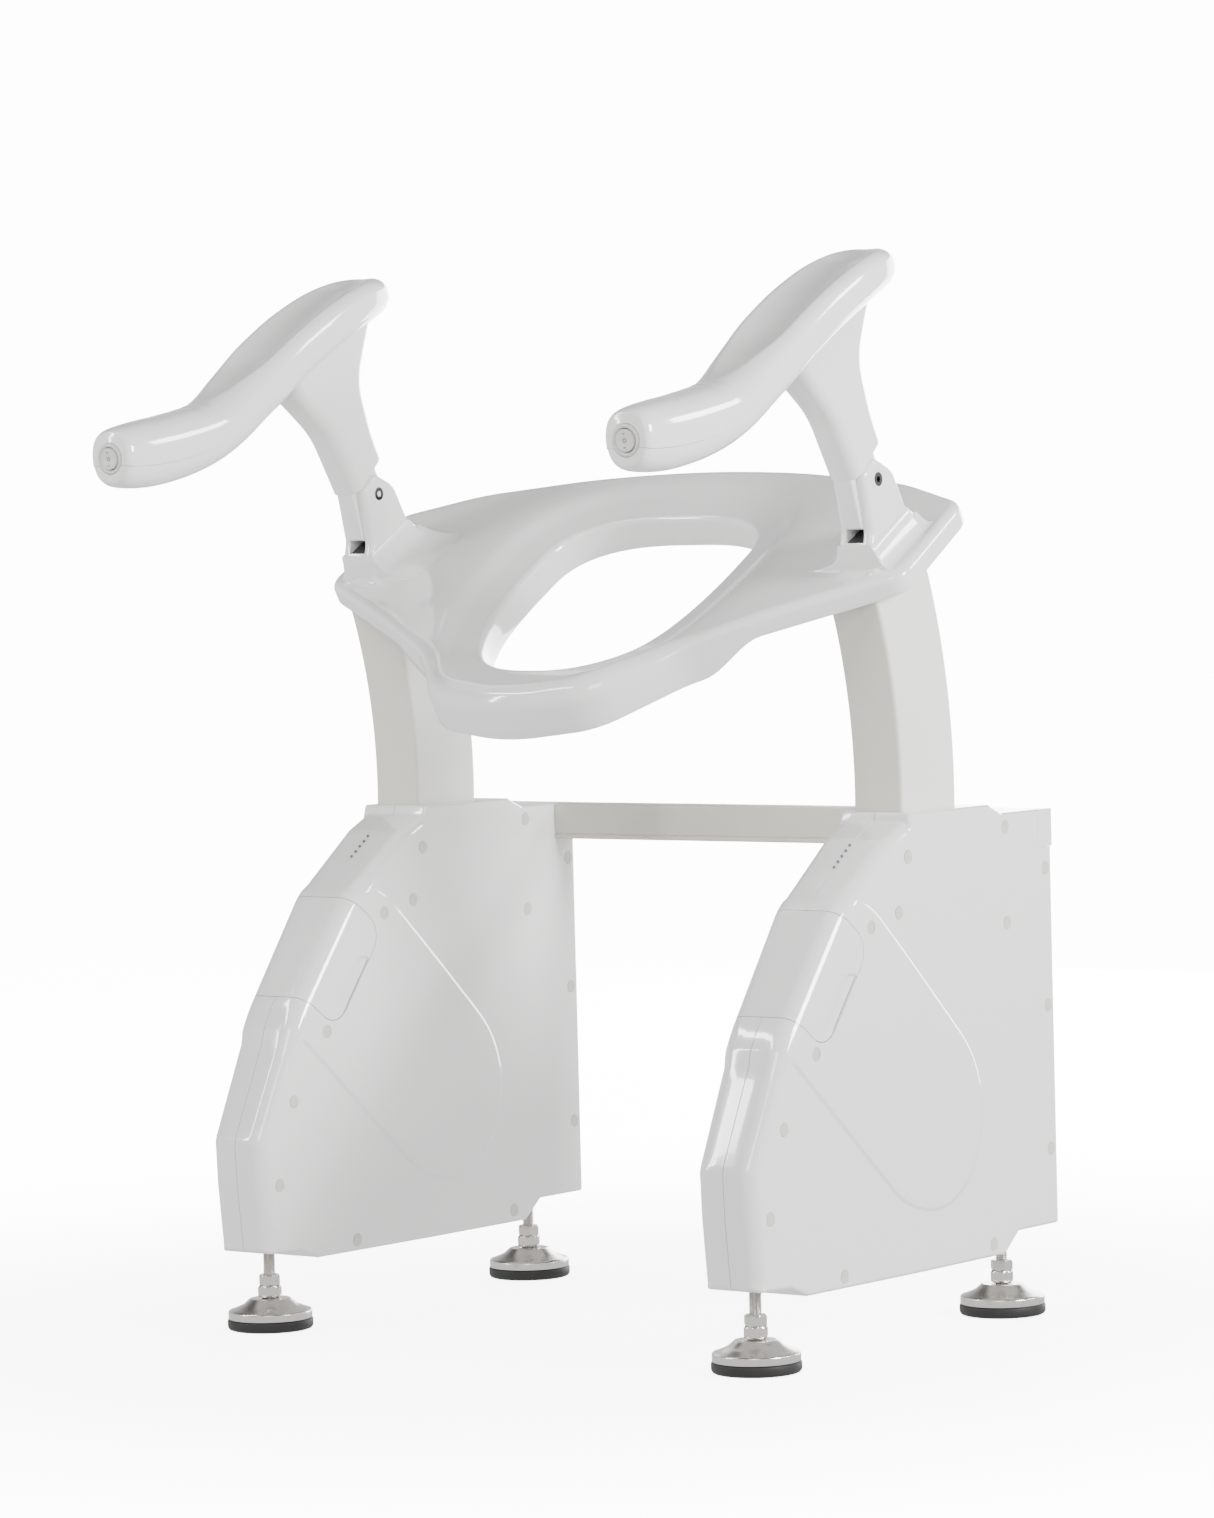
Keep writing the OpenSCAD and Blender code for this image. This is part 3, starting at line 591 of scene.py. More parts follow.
def battery_covers():
    v, f = half_shell(seam=False, plugs=False)
    n = len(v)
    verts = v + [(-p[0], p[1], p[2]) for p in v]
    faces = f + [tuple(reversed([q + n for q in t])) for t in f]
    ob = make("bc", verts, faces, WHITE, None)
    thick(ob, 2.4)
    boolean(ob, prism("c", bay_outline(-BAY_GAP), -60, 60), "INTERSECT")
    for side, sx in SIDES:
        o = add("battery_lid_" + side, ob.data.copy())
        place_side(o, sx)
        finish_piece(o, WHITE, "battery_" + side, ["battery_cover_" + side], 32)
    drop(ob)


# ------ columns


def columns():
    """Two lift columns, curved about a centre in front of the object, that ride with the seat."""
    centre_y, centre_z = -480, 503
    first, last, steps = -16.0, 25.6, 84        # degrees about the centre
    half, r0, r1, rc = 27.0, 490.0, 580.0, 4.0
    groove, groove_depth, bevel = 9.05, 24.0, 0.8
    below_seat = 9                              # the top ends on the seat's bracket
    # cross section (x, radius): two rounded corners and the rear groove
    quarter = [math.pi / 2 * k / 6 for k in range(7)]
    sec = [(half - rc + rc * math.sin(a), r0 + rc - rc * math.cos(a)) for a in quarter]
    sec += [(half - rc + rc * math.cos(a), r1 - rc + rc * math.sin(a)) for a in quarter]
    sec += [(groove + bevel, r1), (groove, r1 - bevel), (groove, r1 - groove_depth)]
    sec = sec + [(-x, r) for x, r in reversed(sec)]
    n = len(sec)
    verts = []
    for k in range(steps + 1):
        a = math.radians(first + (last - first) * k / steps)
        for x, r in sec:
            y, z = centre_y + r * math.cos(a), centre_z + r * math.sin(a)
            over = -y * math.sin(TILT) + (z - SEAT_Z) * math.cos(TILT) + below_seat
            if over > 0:
                b = a - over / max(0.2, math.sin(TILT) * math.sin(a) + math.cos(TILT) * math.cos(a)) / r
                y, z = centre_y + r * math.cos(b), centre_z + r * math.sin(b)
            verts.append((x, y, z))
    faces = bands(steps + 1, n) + [tuple(range(n)), tuple(range(steps * n + n - 1, steps * n - 1, -1))]
    for side, sx in SIDES:
        placed = [(SIDE_X * sx + sx * x, y, z) for x, y, z in verts]
        make("column_skin_" + side, placed, faces, COLUMN, "lift", ["column_" + side], angle=50)


# ------ shapes in the seat's own frame

#  the seat's outline [x, along the seat, r]: the left half, which the right half mirrors
SEAT_HALF = [[0, -235, 160], [92, -214, 70], [152, -137, 90], [338, -26, 24], [334, 100, 26], [250, 138, 200]]
SEAT_LINE = SEAT_HALF + [[0, 187, 800]] + [[-p[0], p[1], p[2]] for p in reversed(SEAT_HALF[1:])]


def from_seat(p):
    """(x, along the seat, above it) in the shared frame."""
    x, u, n = p
    return (x, u * math.cos(TILT) - n * math.sin(TILT), SEAT_Z + u * math.sin(TILT) + n * math.cos(TILT))


def move_mesh(ob, fn):
    """Puts every vertex through fn, in millimetres."""
    for v in ob.data.vertices:
        v.co = Vector(fn(tuple(c / MM for c in v.co))) * MM


def copies(ob, name, mat, body, nodes, angle=38):
    """One finished piece per side from a mesh made for the left side."""
    for side, sx in SIDES:
        o = add("%s_%s" % (name, side), ob.data.copy())
        place_side(o, sx, 0.0)
        finish_piece(o, mat, body if body == "lift" else body + side, [n + side for n in nodes], angle)
    drop(ob)


def place_side(o, sx, shift=SIDE_X):
    """Moves a mesh made about x = 0 to a side; the right side is mirrored."""
    bm = bmesh.new()
    bm.from_mesh(o.data)
    for v in bm.verts:
        v.co.x = sx * (v.co.x + shift * MM)
    if sx < 0:
        bmesh.ops.reverse_faces(bm, faces=bm.faces)
    bm.to_mesh(o.data)
    bm.free()


def soft_prism(name, corners, x0, x1, r0, r1, steps=7, arc=7):
    """Closed solid from corners [y, z, r] between x0 and x1; r0 and r1 are the fillets at its two ends,
    one value or one per edge."""
    k = len(corners)
    rings = []
    for x, r, s in ((x0, r0, 1), (x1, r1, -1)):
        r = [r] * k if isinstance(r, (int, float)) else r
        per = []
        for c in range(k):
            for j in range(arc + 1):
                per.append(r[(c - 1) % k] * (1 - j / arc) + r[c] * j / arc)
        per = np.array(per)
        end = []
        for i in range(steps + 1):
            a = math.pi / 2 * i / steps
            o = rounded(inset(corners, [q * (1 - math.sin(a)) for q in r]), arc)
            end.append([(x + s * per[m] * (1 - math.cos(a)), o[m][0], o[m][1]) for m in range(len(o))])
        rings += end if s > 0 else end[::-1]
    return skin(name, rings)


def skin(name, rings):
    """Solid through closed rings of equal length, with a flat face at each end."""
    n, k = len(rings[0]), len(rings)
    v = [tuple(p) for r in rings for p in r]
    f = bands(k, n) + [tuple(range(n))[::-1], tuple(range((k - 1) * n, k * n))]
    return make(name, v, f, WHITE, None)


def lathe(name, profile, turns=72):
    """Solid of revolution about z from [radius, z] points that start and end on the axis."""
    rings = []
    for i in range(turns):
        a = 2 * math.pi * i / turns
        rings.append([(r * math.cos(a), r * math.sin(a), z) for r, z in profile])
    n = len(profile)
    v = [p for r in rings for p in r]
    f = [(k * n + i, ((k + 1) % turns) * n + i, ((k + 1) % turns) * n + i + 1, k * n + i + 1)
         for k in range(turns) for i in range(n - 1)]
    return make(name, v, f, WHITE, None)


# ------ seat

HOLE_U = 34                     # the opening's widest place, along the seat
HOLE_EDGE = 7.0                 # radius of the rounding into the opening


def egg(grow=0.0, count=240):
    """Outline of the opening, long to the front and short to the back."""
    a = np.radians(np.arange(0, 360, 0.5))
    c, s = np.cos(a), np.sin(a)
    reach = np.where(s < 0, 198.0, 72.0) + grow
    x = (119 + grow) * np.sign(c) * np.abs(c) ** 0.77
    return resample(np.stack([x, HOLE_U + reach * np.sign(s) * np.abs(s) ** 0.77], 1), count)


EGG = egg()
OUTLINE = resample(rounded(SEAT_LINE, 30), 460)


def rim_radius(u):
    """Radius of the rounding between the top and the skirt."""
    return 9.0 + 11.0 * smoothstep(-110, -165, u)


def skirt_depth(u):
    """The skirt is deeper round the nose than along the wings."""
    return 22.0 + 26.0 * smoothstep(-98, -132, u)


def top_height(p):
    """Height of the seat's top: a dish around the opening and a saddle beside the nose."""
    saddle = -4.0 * np.exp(-((np.abs(p[:, 0]) - 158) ** 2 + (p[:, 1] + 128) ** 2) / (2 * 34.0 ** 2))
    d = -signed_distance(p, EGG)
    t = np.clip((86.0 - d) / 40.0, 0, 1.4)
    bowl = -2.6 * t * t * smoothstep(-190, -120, p[:, 1])
    return np.where(d > 0, -12.5 * smoothfall(d), -12.5) + saddle + bowl


def smoothfall(d):
    """1 at the opening, falling in a straight slope to 0 with a tight bend at 46 mm."""
    t = (46.0 - d) / 2.5
    return np.log1p(np.exp(np.clip(t, -30, 30))) * 2.5 / 46.0


def seat():
    """One surface from the skirt's edge over the rim and the top into the opening, then given a wall."""
    line, nor = OUTLINE, normals(OUTLINE)
    r = rim_radius(line[:, 1])
    depth = skirt_depth(line[:, 1])
    edge = line + nor * r[:, None]
    lift = top_height(edge)
    m = len(line)
    lip = 1.4       # rounding at the skirt's lower edge
    rings = [np.column_stack([line + nor * inner, up - depth])
             for inner, up in ((lip, 0.0), (0.4, 0.4), (0.0, lip))]
    for k in (1, 2):
        rings.append(np.column_stack([line, -depth + lip + (depth - lip - r) * k / 3]))
    for k in range(11):
        a = math.pi / 2 * k / 10
        rings.append(np.column_stack([line + nor * (r * (1 - math.cos(a)))[:, None],
                                      -r + r * math.sin(a) + lift * math.sin(a)]))
    # rays from the opening's centre, one for each point of the rim
    centre = np.array([0.0, HOLE_U])
    ang = np.unwrap(np.arctan2(edge[:, 1] - HOLE_U, edge[:, 0]))
    rays = np.stack([np.cos(ang), np.sin(ang)], 1)
    ring = egg(HOLE_EDGE, 1440)
    ha = np.arctan2(ring[:, 1] - HOLE_U, ring[:, 0])
    order = np.argsort(ha)
    ha, hr = ha[order], np.linalg.norm(ring - centre, axis=1)[order]
    ha = np.concatenate([ha - 2 * math.pi, ha, ha + 2 * math.pi])
    rad = np.interp(np.mod(ang + math.pi, 2 * math.pi) - math.pi, ha, np.tile(hr, 3))
    start = centre + rays * rad[:, None]
    span = np.linalg.norm(edge - start, axis=1)
    # the top's rings: close together where the dish is, then spread out to the rim
    near = [0, 3, 7, 12, 17, 22, 27, 31, 34, 36.5, 38.5, 40.5, 43, 47]
    stops = [np.minimum(d, span * 0.95 * (d + 0.01) / 47.01) for d in near]
    last = stops[-1]
    stops += [last + (span - last) * t for t in (0.12, 0.25, 0.38, 0.52, 0.66, 0.8, 0.9)]
    for stop in stops[::-1]:
        p = start + (edge - start) * (stop / span)[:, None]
        rings.append(np.column_stack([p, top_height(p)]))
    base = rings[-1]
    # over the opening's edge and down its wall, which ends in a small lip
    wall = centre + rays * (rad - HOLE_EDGE)[:, None]
    for k in range(1, 8):
        a = math.pi / 2 * k / 7
        p = start + (wall - start) * math.sin(a)
        rings.append(np.column_stack([p, base[:, 2] - HOLE_EDGE * (1 - math.cos(a))]))
    top = base[:, 2] - HOLE_EDGE
    for t in (0.33, 0.66, 1.0):
        rings.append(np.column_stack([wall, top + (-46.6 - top) * t]))
    for t, low in ((0.06, -47.6), (0.2, -48.0)):
        rings.append(np.column_stack([wall + (start - wall) * t, np.full(m, low)]))
    ob = make("seat_shell", [from_seat(p) for q in rings for p in q], bands(len(rings), m), WHITE, None)
    if sum(p.normal.z * p.area for p in ob.data.polygons) < 0:
        ob.data.flip_normals()
    thick(ob, 3.6)
    finish_piece(ob, WHITE, "lift", ["seat"], 44)


def seat_surface(p):
    """Top height with the rounded rim, for pieces that sit on the seat."""
    e = signed_distance(p, OUTLINE)
    r = rim_radius(p[:, 1])
    q = np.clip(r - e, 0, r)
    return top_height(p) - r + np.sqrt(np.maximum(r * r - q * q, 0))


def fairings():
    """The raised pad under each hinge block, with its soft ramps."""
    xs = np.arange(222, 328.1, 1.25)
    us = np.concatenate([np.arange(-41, -24.4, 1.5), [-23.8, -23.2, -22.8, -22.4, -22.1],
                         np.arange(-21, 68.1, 1.25)])      # close together at the pad's front wall
    gx, gu = np.meshgrid(xs, us)
    gu = np.maximum(gu, -130 + (gx - 152) * 111 / 186)      # the wing's front edge
    p = np.stack([gx.ravel(), gu.ravel()], 1)
    x, u = p[:, 0], p[:, 1]
    inner = (1 - np.clip((274.5 - x) / 50, 0, 1)) ** 2.4
    outer = (1 - np.clip((x - 312) / 13, 0, 1)) ** 2.0
    wall = smoothstep(-23.3, -22.2, u)
    off = np.abs(x - ARM_X)
    tabs = smoothstep(8.5, 12.5, off) * smoothstep(-34, -30, u) * smoothstep(21, 18, off)
    front = np.maximum(wall, 0.17 * smoothstep(-41, -27, u) + 0.10 * tabs)
    back = 1 - smoothstep(57, 64, u)
    h = 14.0 * np.minimum(1, inner * outer * front * back)
    # a small hollow fillet up the block's walls
    side = np.maximum(0, np.maximum(274.5 - x, x - 311.5))
    end = np.maximum(0, np.maximum(8 * (-22 - u), u - 47))
    h += 12.0 * np.clip(1 - side / 16, 0, 1) ** 2.2 * np.clip(1 - end / 9, 0, 1) ** 2 * (h / 14.0)
    h *= smoothstep(4.5, 11, signed_distance(p, OUTLINE))
    z = seat_surface(p) + h
    z = np.where(h < 0.05, z - 0.6, z)      # where the pad ends it goes under the seat's surface
    n, m = gx.shape
    v = [(x[i], u[i], z[i]) for i in range(len(x))]
    f = [(j * m + i, j * m + i + 1, (j + 1) * m + i + 1, (j + 1) * m + i)
         for j in range(n - 1) for i in range(m - 1)]
    # a wall down from the grid's rim and a floor
    rim = ([i for i in range(m)] + [j * m + m - 1 for j in range(1, n)]
           + [(n - 1) * m + i for i in range(m - 2, -1, -1)] + [j * m for j in range(n - 2, 0, -1)])
    low, k = len(v), len(rim)
    v += [(v[i][0], v[i][1], v[i][2] - 3.0) for i in rim]
    f += [(rim[a], rim[(a + 1) % k], low + (a + 1) % k, low + a) for a in range(k)]
    f.append(tuple(range(low, low + k))[::-1])
    ob = make("pad", [from_seat(q) for q in v], f, WHITE, None)
    copies(ob, "hinge_pad", WHITE, "lift", ["hinge_block_"], 60)


# ------ hinge blocks

#  side view of a hinge block in the seat's frame: [along the seat, above it, r]
BLOCK = [[-22, 12, 0.8], [47, 12, 0.8], [46.5, 30, 8], [46.5, 66, 22], [27, 91, 12], [3, 86, 10], [-13, 34, 14],
         [-22, 24, 3]]
#  half widths across the arm hinge
BLOCK_HALF = 18.5
SLOT_HALF = 9.5
TONGUE_HALF = 9.4


def bevelled(ob, width, angle):
    """Breaks the edges that are sharper than an angle."""
    m = ob.modifiers.new("bevel", "BEVEL")
    m.width = width * MM
    m.segments = 2
    m.limit_method = "ANGLE"
    m.angle_limit = math.radians(angle)
    apply_all(ob)


def hinge_blocks():
    """A block with a slot for the arm's tongue and holes for its bolt, and a dark pad on the slot's floor,
    shaped as a stop pad, whose dark colour is painted shade for the shade in the slot.
    """
    edge = [0.5, 3.0, 3.0, 4.0, 5.5, 7.0, 5.0, 3.0]
    ob = soft_prism("hb", BLOCK, ARM_X - BLOCK_HALF, ARM_X + BLOCK_HALF, edge, edge)
    # the slot: its floor is high at the front and the back and low at the pivot
    for u0, u1, low in ((-60, -17, 36.2), (-19, 42, 14.5), (-60, 90, 46)):
        boolean(ob, box_mesh("slot", (ARM_X - SLOT_HALF, u0, low), (ARM_X + SLOT_HALF, u1, 130)))
    for s in (-1, 1):
        hole = lathe("hole", [(0, 0), (6.6, 0), (6.6, 4.6), (8.2, 7.0), (0, 7.0)], 40)
        move_mesh(hole, lambda p, s=s: (ARM_X + s * (14.0 + p[2]), PIVOT[0] + p[0], PIVOT[1] + p[1]))
        boolean(ob, hole)
    bevelled(ob, 0.9, 50)
    move_mesh(ob, from_seat)
    copies(ob, "hinge_ears", WHITE, "lift", ["hinge_block_"], 40)
    # painted shade: a dark pad on the slot's floor, its shape a guessed stop pad, stands in for the shade down
    # in the slot
    stop = [[-18.6, 14.6, 1], [41.6, 14.6, 1], [41.6, 24, 3], [20, 26, 12], [-18.6, 27, 2]]
    ob = soft_prism("stop", stop, ARM_X - TONGUE_HALF, ARM_X + TONGUE_HALF, 0.8, 0.8, 3, 4)
    move_mesh(ob, from_seat)
    copies(ob, "hinge_slot_shade", DARK, "lift", ["hinge_block_"], 40)


# ------ arms

#  centre line of an arm rest from grip to tail: [y, z, half width, half depth]
ARM = [[-379, 828, 20.6, 21.4], [-377.5, 828.1, 22.6, 24.0], [-373, 828.5, 24.8, 26.8],
       [-364, 829.3, 26.6, 28.8], [-348, 830.8, 28.4, 30.6], [-330, 833, 29.5, 31.5],
       [-308, 836.5, 30.1, 31.4], [-286, 841, 30.5, 31], [-262, 847, 31, 29.6], [-240, 855, 32, 28],
       [-218, 867, 34, 26.8], [-196, 882, 36, 26], [-173, 897.5, 38, 25.4], [-150, 914, 39.5, 25],
       [-127, 928.5, 40.2, 24.8], [-104, 942, 40.5, 24.5], [-82, 953.5, 40, 24.1], [-60, 964, 39, 23.5],
       [-42, 971.5, 37, 22.6], [-24, 978, 34, 21.5], [-11, 981.6, 30.5, 20], [0, 984, 26, 18],
       [8, 985.2, 20.5, 15.2], [13, 986, 15, 12], [16.5, 986.7, 9.5, 8.2], [18, 987, 4, 3.6]]


def arm_stations(sub=4):
    """The stations joined by a smooth curve through all of them."""
    a = np.array(ARM, float)
    k = len(a)
    out = []
    for i in range(k - 1):
        p0, p1, p2, p3 = a[max(0, i - 1)], a[i], a[i + 1], a[min(k - 1, i + 2)]
        for j in range(sub):
            t = j / sub
            out.append(0.5 * (2 * p1 + (p2 - p0) * t + (2 * p0 - 5 * p1 + 4 * p2 - p3) * t * t
                              + (3 * p1 - p0 - 3 * p2 + p3) * t ** 3))
    out.append(a[-1])
    return np.array(out)


def leaf(y):
    """How far the dished top is developed at a station, and how wide it is."""
    grow = smoothstep(-246, -150, y) * smoothstep(14, -40, y)
    return grow, 0.12 + 0.62 * np.sqrt(max(0.0, grow))


PARTING = math.asin(0.3 ** 1.25)        # the parting line's angle on a section, below its widest place


def upper_section(w, h, y):
    """Outline above the parting line, from the outer side over the top to the inner side."""
    grow, wide = leaf(y)
    p = 2.5 + 1.3 * grow
    pts = []
    ch = (1 - wide ** p) ** (1 / p)
    end = math.atan2(ch ** (p / 2), wide ** (p / 2))
    for k in range(17):
        a = -PARTING + (end + PARTING) * k / 16
        q = 2.5 if a < 0 else p
        pts.append((w * math.copysign(abs(math.cos(a)) ** (2 / q), math.cos(a)),
                    h * math.copysign(abs(math.sin(a)) ** (2 / q), math.sin(a))))
    cx, cz = pts[-1]
    n = 18
    for k in range(1, n):
        x = cx * (1 - 2 * k / n)
        over = h * (1 - abs(x / w) ** p) ** (1 / p)
        dish = cz - 4.2 * (1 - (x / cx) ** 2)
        pts.append((x, over * (1 - grow) + dish * grow))
    return pts + [(-x, z) for x, z in reversed(pts[:17])]


def lower_section(w, h):
    """Outline below the parting line, a little smaller than the upper shell."""
    pts = []
    for k in range(41):
        a = math.pi + PARTING + (math.pi - 2 * PARTING) * k / 40
        pts.append((w * math.copysign(abs(math.cos(a)) ** 0.8, math.cos(a)),
                    h * math.copysign(abs(math.sin(a)) ** 0.8, math.sin(a))))
    return pts


def flare(ob, low, high, more):
    """Widens a post towards its top, in a hollow curve."""
    bm = bmesh.new()
    bm.from_mesh(ob.data)
    for k in range(14):
        n = (low + (high - low) * k / 13) * MM
        bmesh.ops.bisect_plane(bm, geom=bm.verts[:] + bm.edges[:] + bm.faces[:], plane_co=(0, 0, n),
                               plane_no=(0, 0, 1))
    bm.to_mesh(ob.data)
    bm.free()

    def wider(p):
        t = min(1.0, max(0.0, (p[2] - low) / (high - low)))
        return (ARM_X + (p[0] - ARM_X) * (1 + more * t * t), p[1], p[2])
    move_mesh(ob, wider)


def arm_rests():
    """An upper shell, and a lower shell in one piece with its post and the tongue in the hinge block."""
    st = arm_stations()
    top, low = [], []
    for i, (y, z, w, h) in enumerate(st):
        a, b = st[max(0, i - 1)], st[min(len(st) - 1, i + 1)]
        t = unit(b[:2] - a[:2])
        wave = 0.0
        if -292 < y < -222:     # four shallow finger waves on the grip
            wave = 0.8 * math.sin((y + 292) / 70 * math.pi) ** 2 * math.sin((y + 292) / 17.5 * 2 * math.pi)
        ring = []
        for x, d in upper_section(w, h, y):
            d += wave * max(0.0, d / h) * math.exp(-(x / w) ** 2 * 2)
            ring.append((REST_X + x, y - t[1] * d, z + t[0] * d))
        top.append(ring)
        k = max(0.6, 1 - 0.9 / w)
        ring = []
        for x, d in lower_section(w, h):
            drop_by = 0.35 if d > -0.31 * h else 0
            x, d = x * k, d - drop_by
            ring.append((REST_X + x, y - t[1] * d, z + t[0] * d))
        low.append(ring)
    upper = skin("arm_upper", top)
    lower = skin("arm_lower", low)
    for ob in (upper, lower):       # the grip's end has a seat for the switch
        seat_cut = lathe("seat", [(0, -16), (14.8, -16), (14.8, 1.0), (17.0, 12), (0, 12)], 56)
        at_switch(seat_cut)
        boolean(ob, seat_cut)
    # the post and the tongue, in the seat's frame
    edge = [9, 9, 9, 4, 12, 12, 12, 12, 2]
    post = soft_prism("post", [[48, 72, 4], [48, 120, 200], [60, 175, 60], [110, 224, 5], [-36, 232, 5],
                               [-32, 215, 30], [-6, 150, 90], [-5, 88, 4], [-5, 72, 1]],
                      ARM_X - 18, ARM_X + 18, edge, edge)
    flare(post, 158, 224, 0.28)
    # its shoulders are cut off on a slope above the pivot
    below = box_mesh("below", (ARM_X - 40, -80, -60), (ARM_X + 40, 80, 21.2))
    c, s = math.cos(math.radians(14.4)), math.sin(math.radians(14.4))
    move_mesh(below, lambda p: (p[0], PIVOT[0] + p[1] * c - p[2] * s, PIVOT[1] + p[1] * s + p[2] * c))
    boolean(post, below)
    bevelled(post, 0.8, 60)
    tongue = soft_prism("tongue", [[-14.5, 36, 5], [32, 36, 8], [40, 62, 12], [41, 97, 2], [-4.6, 97, 1],
                                   [-5, 84, 20]], ARM_X - TONGUE_HALF, ARM_X + TONGUE_HALF, 2.0, 2.0)
    for ob in (post, tongue):
        move_mesh(ob, from_seat)
    body = join([lower, post, tongue], "arm_shell")
    copies(upper, "arm_pad", WHITE, "arm_", ["arm_top_"], 46)
    copies(body, "arm_shell", WHITE, "arm_", ["arm_body_"], 46)


# ------ switches

SWITCH_TILT = math.radians(97)


def at_switch(ob):
    """From a frame whose z comes straight out of the grip's end."""
    c, s = math.cos(SWITCH_TILT), math.sin(SWITCH_TILT)
    y, z = ARM[0][:2]
    move_mesh(ob, lambda p: (REST_X + p[0], y + p[1] * c - p[2] * s, z + p[1] * s + p[2] * c))


def rocker_height(y):
    """The rocker's face is a shallow V."""
    return 1.7 + 0.16 * math.sqrt(y * y + 1.2)


def mark(x, y0, y1):
    """A bar printed on the rocker's face."""
    v = [(q, y, rocker_height(y) + lift) for lift in (-0.3, 0.18)
         for q, y in ((-x, y0), (x, y0), (x, y1), (-x, y1))]
    f = [(0, 3, 2, 1), (4, 5, 6, 7), (0, 1, 5, 4), (1, 2, 6, 5), (2, 3, 7, 6), (3, 0, 4, 7)]
    return make("mk", v, f, MARK, None)


def switches():
    """A bezel ring on the arm, and a rocker with its marks that turns in it."""
    ob = lathe("bz", [(10.45, -5), (14.2, -5), (14.5, -1.5), (14.4, 0.2), (13.7, 1.2), (12.7, 1.5), (11.7, 1.2),
                      (11.0, 0.5), (10.5, -0.6), (10.45, -5)], 72)
    at_switch(ob)
    copies(ob, "switch_ring", BEZEL, "arm_", ["switch_bezel_"], 60)
    # the rocker: how far its face falls away at each radius, then its flat underside
    rings = []
    n = 72
    for r, fall in ((0.3, 0), (3, 0), (6, 0), (8.4, 0), (9.4, 0.25), (9.9, 0.9), (10.0, 1.9), (10.0, None),
                    (7, None), (0.3, None)):
        ring = []
        for i in range(n):
            a = 2 * math.pi * i / n
            x, y = r * math.cos(a), r * math.sin(a)
            ring.append((x, y, -3.0 if fall is None else rocker_height(y) - fall))
        rings.append(ring)
    rk = skin("rk", rings)
    marks = [mark(1.4, 5.4, 6.3), mark(1.2, -6.6, -5.6),
             lathe("o", [(1.2, 1.6), (2.1, 1.6), (2.1, 2.14), (1.2, 2.14), (1.2, 1.6)], 28)]
    mk = join(marks, "mk")
    at_switch(rk)
    at_switch(mk)
    copies(rk, "switch_cap", BEZEL, "switch_", ["switch_rocker_"], 40)
    copies(mk, "switch_mark", MARK, "switch_", [], 40)


# ------ feet


def hexagon(name, across, low, high, turn):
    """Hexagonal nut with its corners turned down; across is measured over the corners."""
    r_out = across / 2
    apothem = r_out * math.cos(math.pi / 6)
    chamfer = 1.4
    rings = []
    n = 72
    for z, limit in ((low, apothem * 0.97), (low + chamfer, r_out), (high - chamfer, r_out),
                     (high, apothem * 0.97)):
        ring = []
        for i in range(n):
            a = 2 * math.pi * i / n
            q = (a % (math.pi / 3)) - math.pi / 6
            r = min(apothem / math.cos(q), limit)
            ring.append((r * math.cos(a + turn), r * math.sin(a + turn), z))
        rings.append(ring)
    mid = []
    for t in (0.25, 0.5, 0.75):
        z = low + chamfer + (high - low - 2 * chamfer) * t
        mid.append([(p[0], p[1], z) for p in rings[1]])
    return skin(name, [rings[0], rings[1]] + mid + [rings[2], rings[3]])


def thread(name, low, high, pitch=1.75, r=6.0, depth=0.95, seg=28):
    """Threaded rod: rings whose radius follows the helix."""
    rings = []
    n = int((high - low) / (pitch / 6)) + 1
    for k in range(n):
        z = low + (high - low) * k / (n - 1)
        ring = []
        for i in range(seg):
            a = 2 * math.pi * i / seg
            t = (z / pitch - a / (2 * math.pi)) % 1.0
            tri = abs(2 * t - 1)
            rr = r - depth * max(0.0, min(1.0, 1.35 * tri - 0.15))
            if k in (0, n - 1):
                rr = r - depth
            ring.append((rr * math.cos(a), rr * math.sin(a), z))
        rings.append(ring)
    return skin(name, rings)


def feet():
    """Four feet: a rubber pad under a steel cone, and a threaded stem with two nuts."""
    pad = lathe("fr", [(0, 0), (38.2, 0), (39.4, 0.5), (40.4, 1.8), (40.9, 3.4), (40.9, 8.2), (40.5, 9.4),
                       (39.6, 9.95), (0, 9.95)], 96)
    cone = lathe("fc", [(0, 10.05), (39.3, 10.05), (39.9, 10.6), (40, 11.4), (40, 16.6), (39.7, 17.5),
                        (38.8, 18.2), (36.5, 18.9), (31, 21.0), (25.5, 23.6), (21.4, 27.2), (20.2, 28.3),
                        (19.2, 28.9), (18.2, 29), (9, 29), (8.4, 28), (0, 28)], 96)
    stem = join([hexagon("h1", 24, 30.5, 41.0, 0.0), thread("th", 41.5, 104),
                 lathe("st", [(0, 23), (5.6, 23), (6.0, 24), (6.0, 30.6), (0, 30.6)], 40),
                 lathe("su", [(0, 103.5), (5.6, 103.5), (6.0, 104.5), (6.0, 123), (5.0, 124), (0, 124)], 40)],
                "stem")
    nut = hexagon("h2", 22, 41.05, 51.5, math.radians(15))
    parts = {"pad": pad, "cone": cone, "stem": stem, "nut": nut}
    what = {"pad": (RUBBER, "pad_", "foot_rubber_", "black_rubber", 40),
            "cone": (STEEL, "pad_", "foot_cone_", "steel", 40),
            "stem": (STEEL, "stem_", "foot_stem_", "steel", 30),
            "nut": (STEEL, "stem_", "foot_nut_", "steel", 25)}
    for key, src in parts.items():
        mat, body, node, slot, angle = what[key]
        for end, sy in (("front", -1), ("rear", 1)):
            for side, sx in SIDES:
                o = add("%s_%s_%s" % (key, end, side), src.data.copy())
                move_mesh(o, lambda p, sx=sx, sy=sy: (p[0] + sx * SIDE_X, p[1] + sy * FOOT_Y, p[2]))
                tail = end + "_" + side
                finish_piece(o, mat, body + tail, [node + tail], angle)
        drop(src)


# ------ crossbar cover


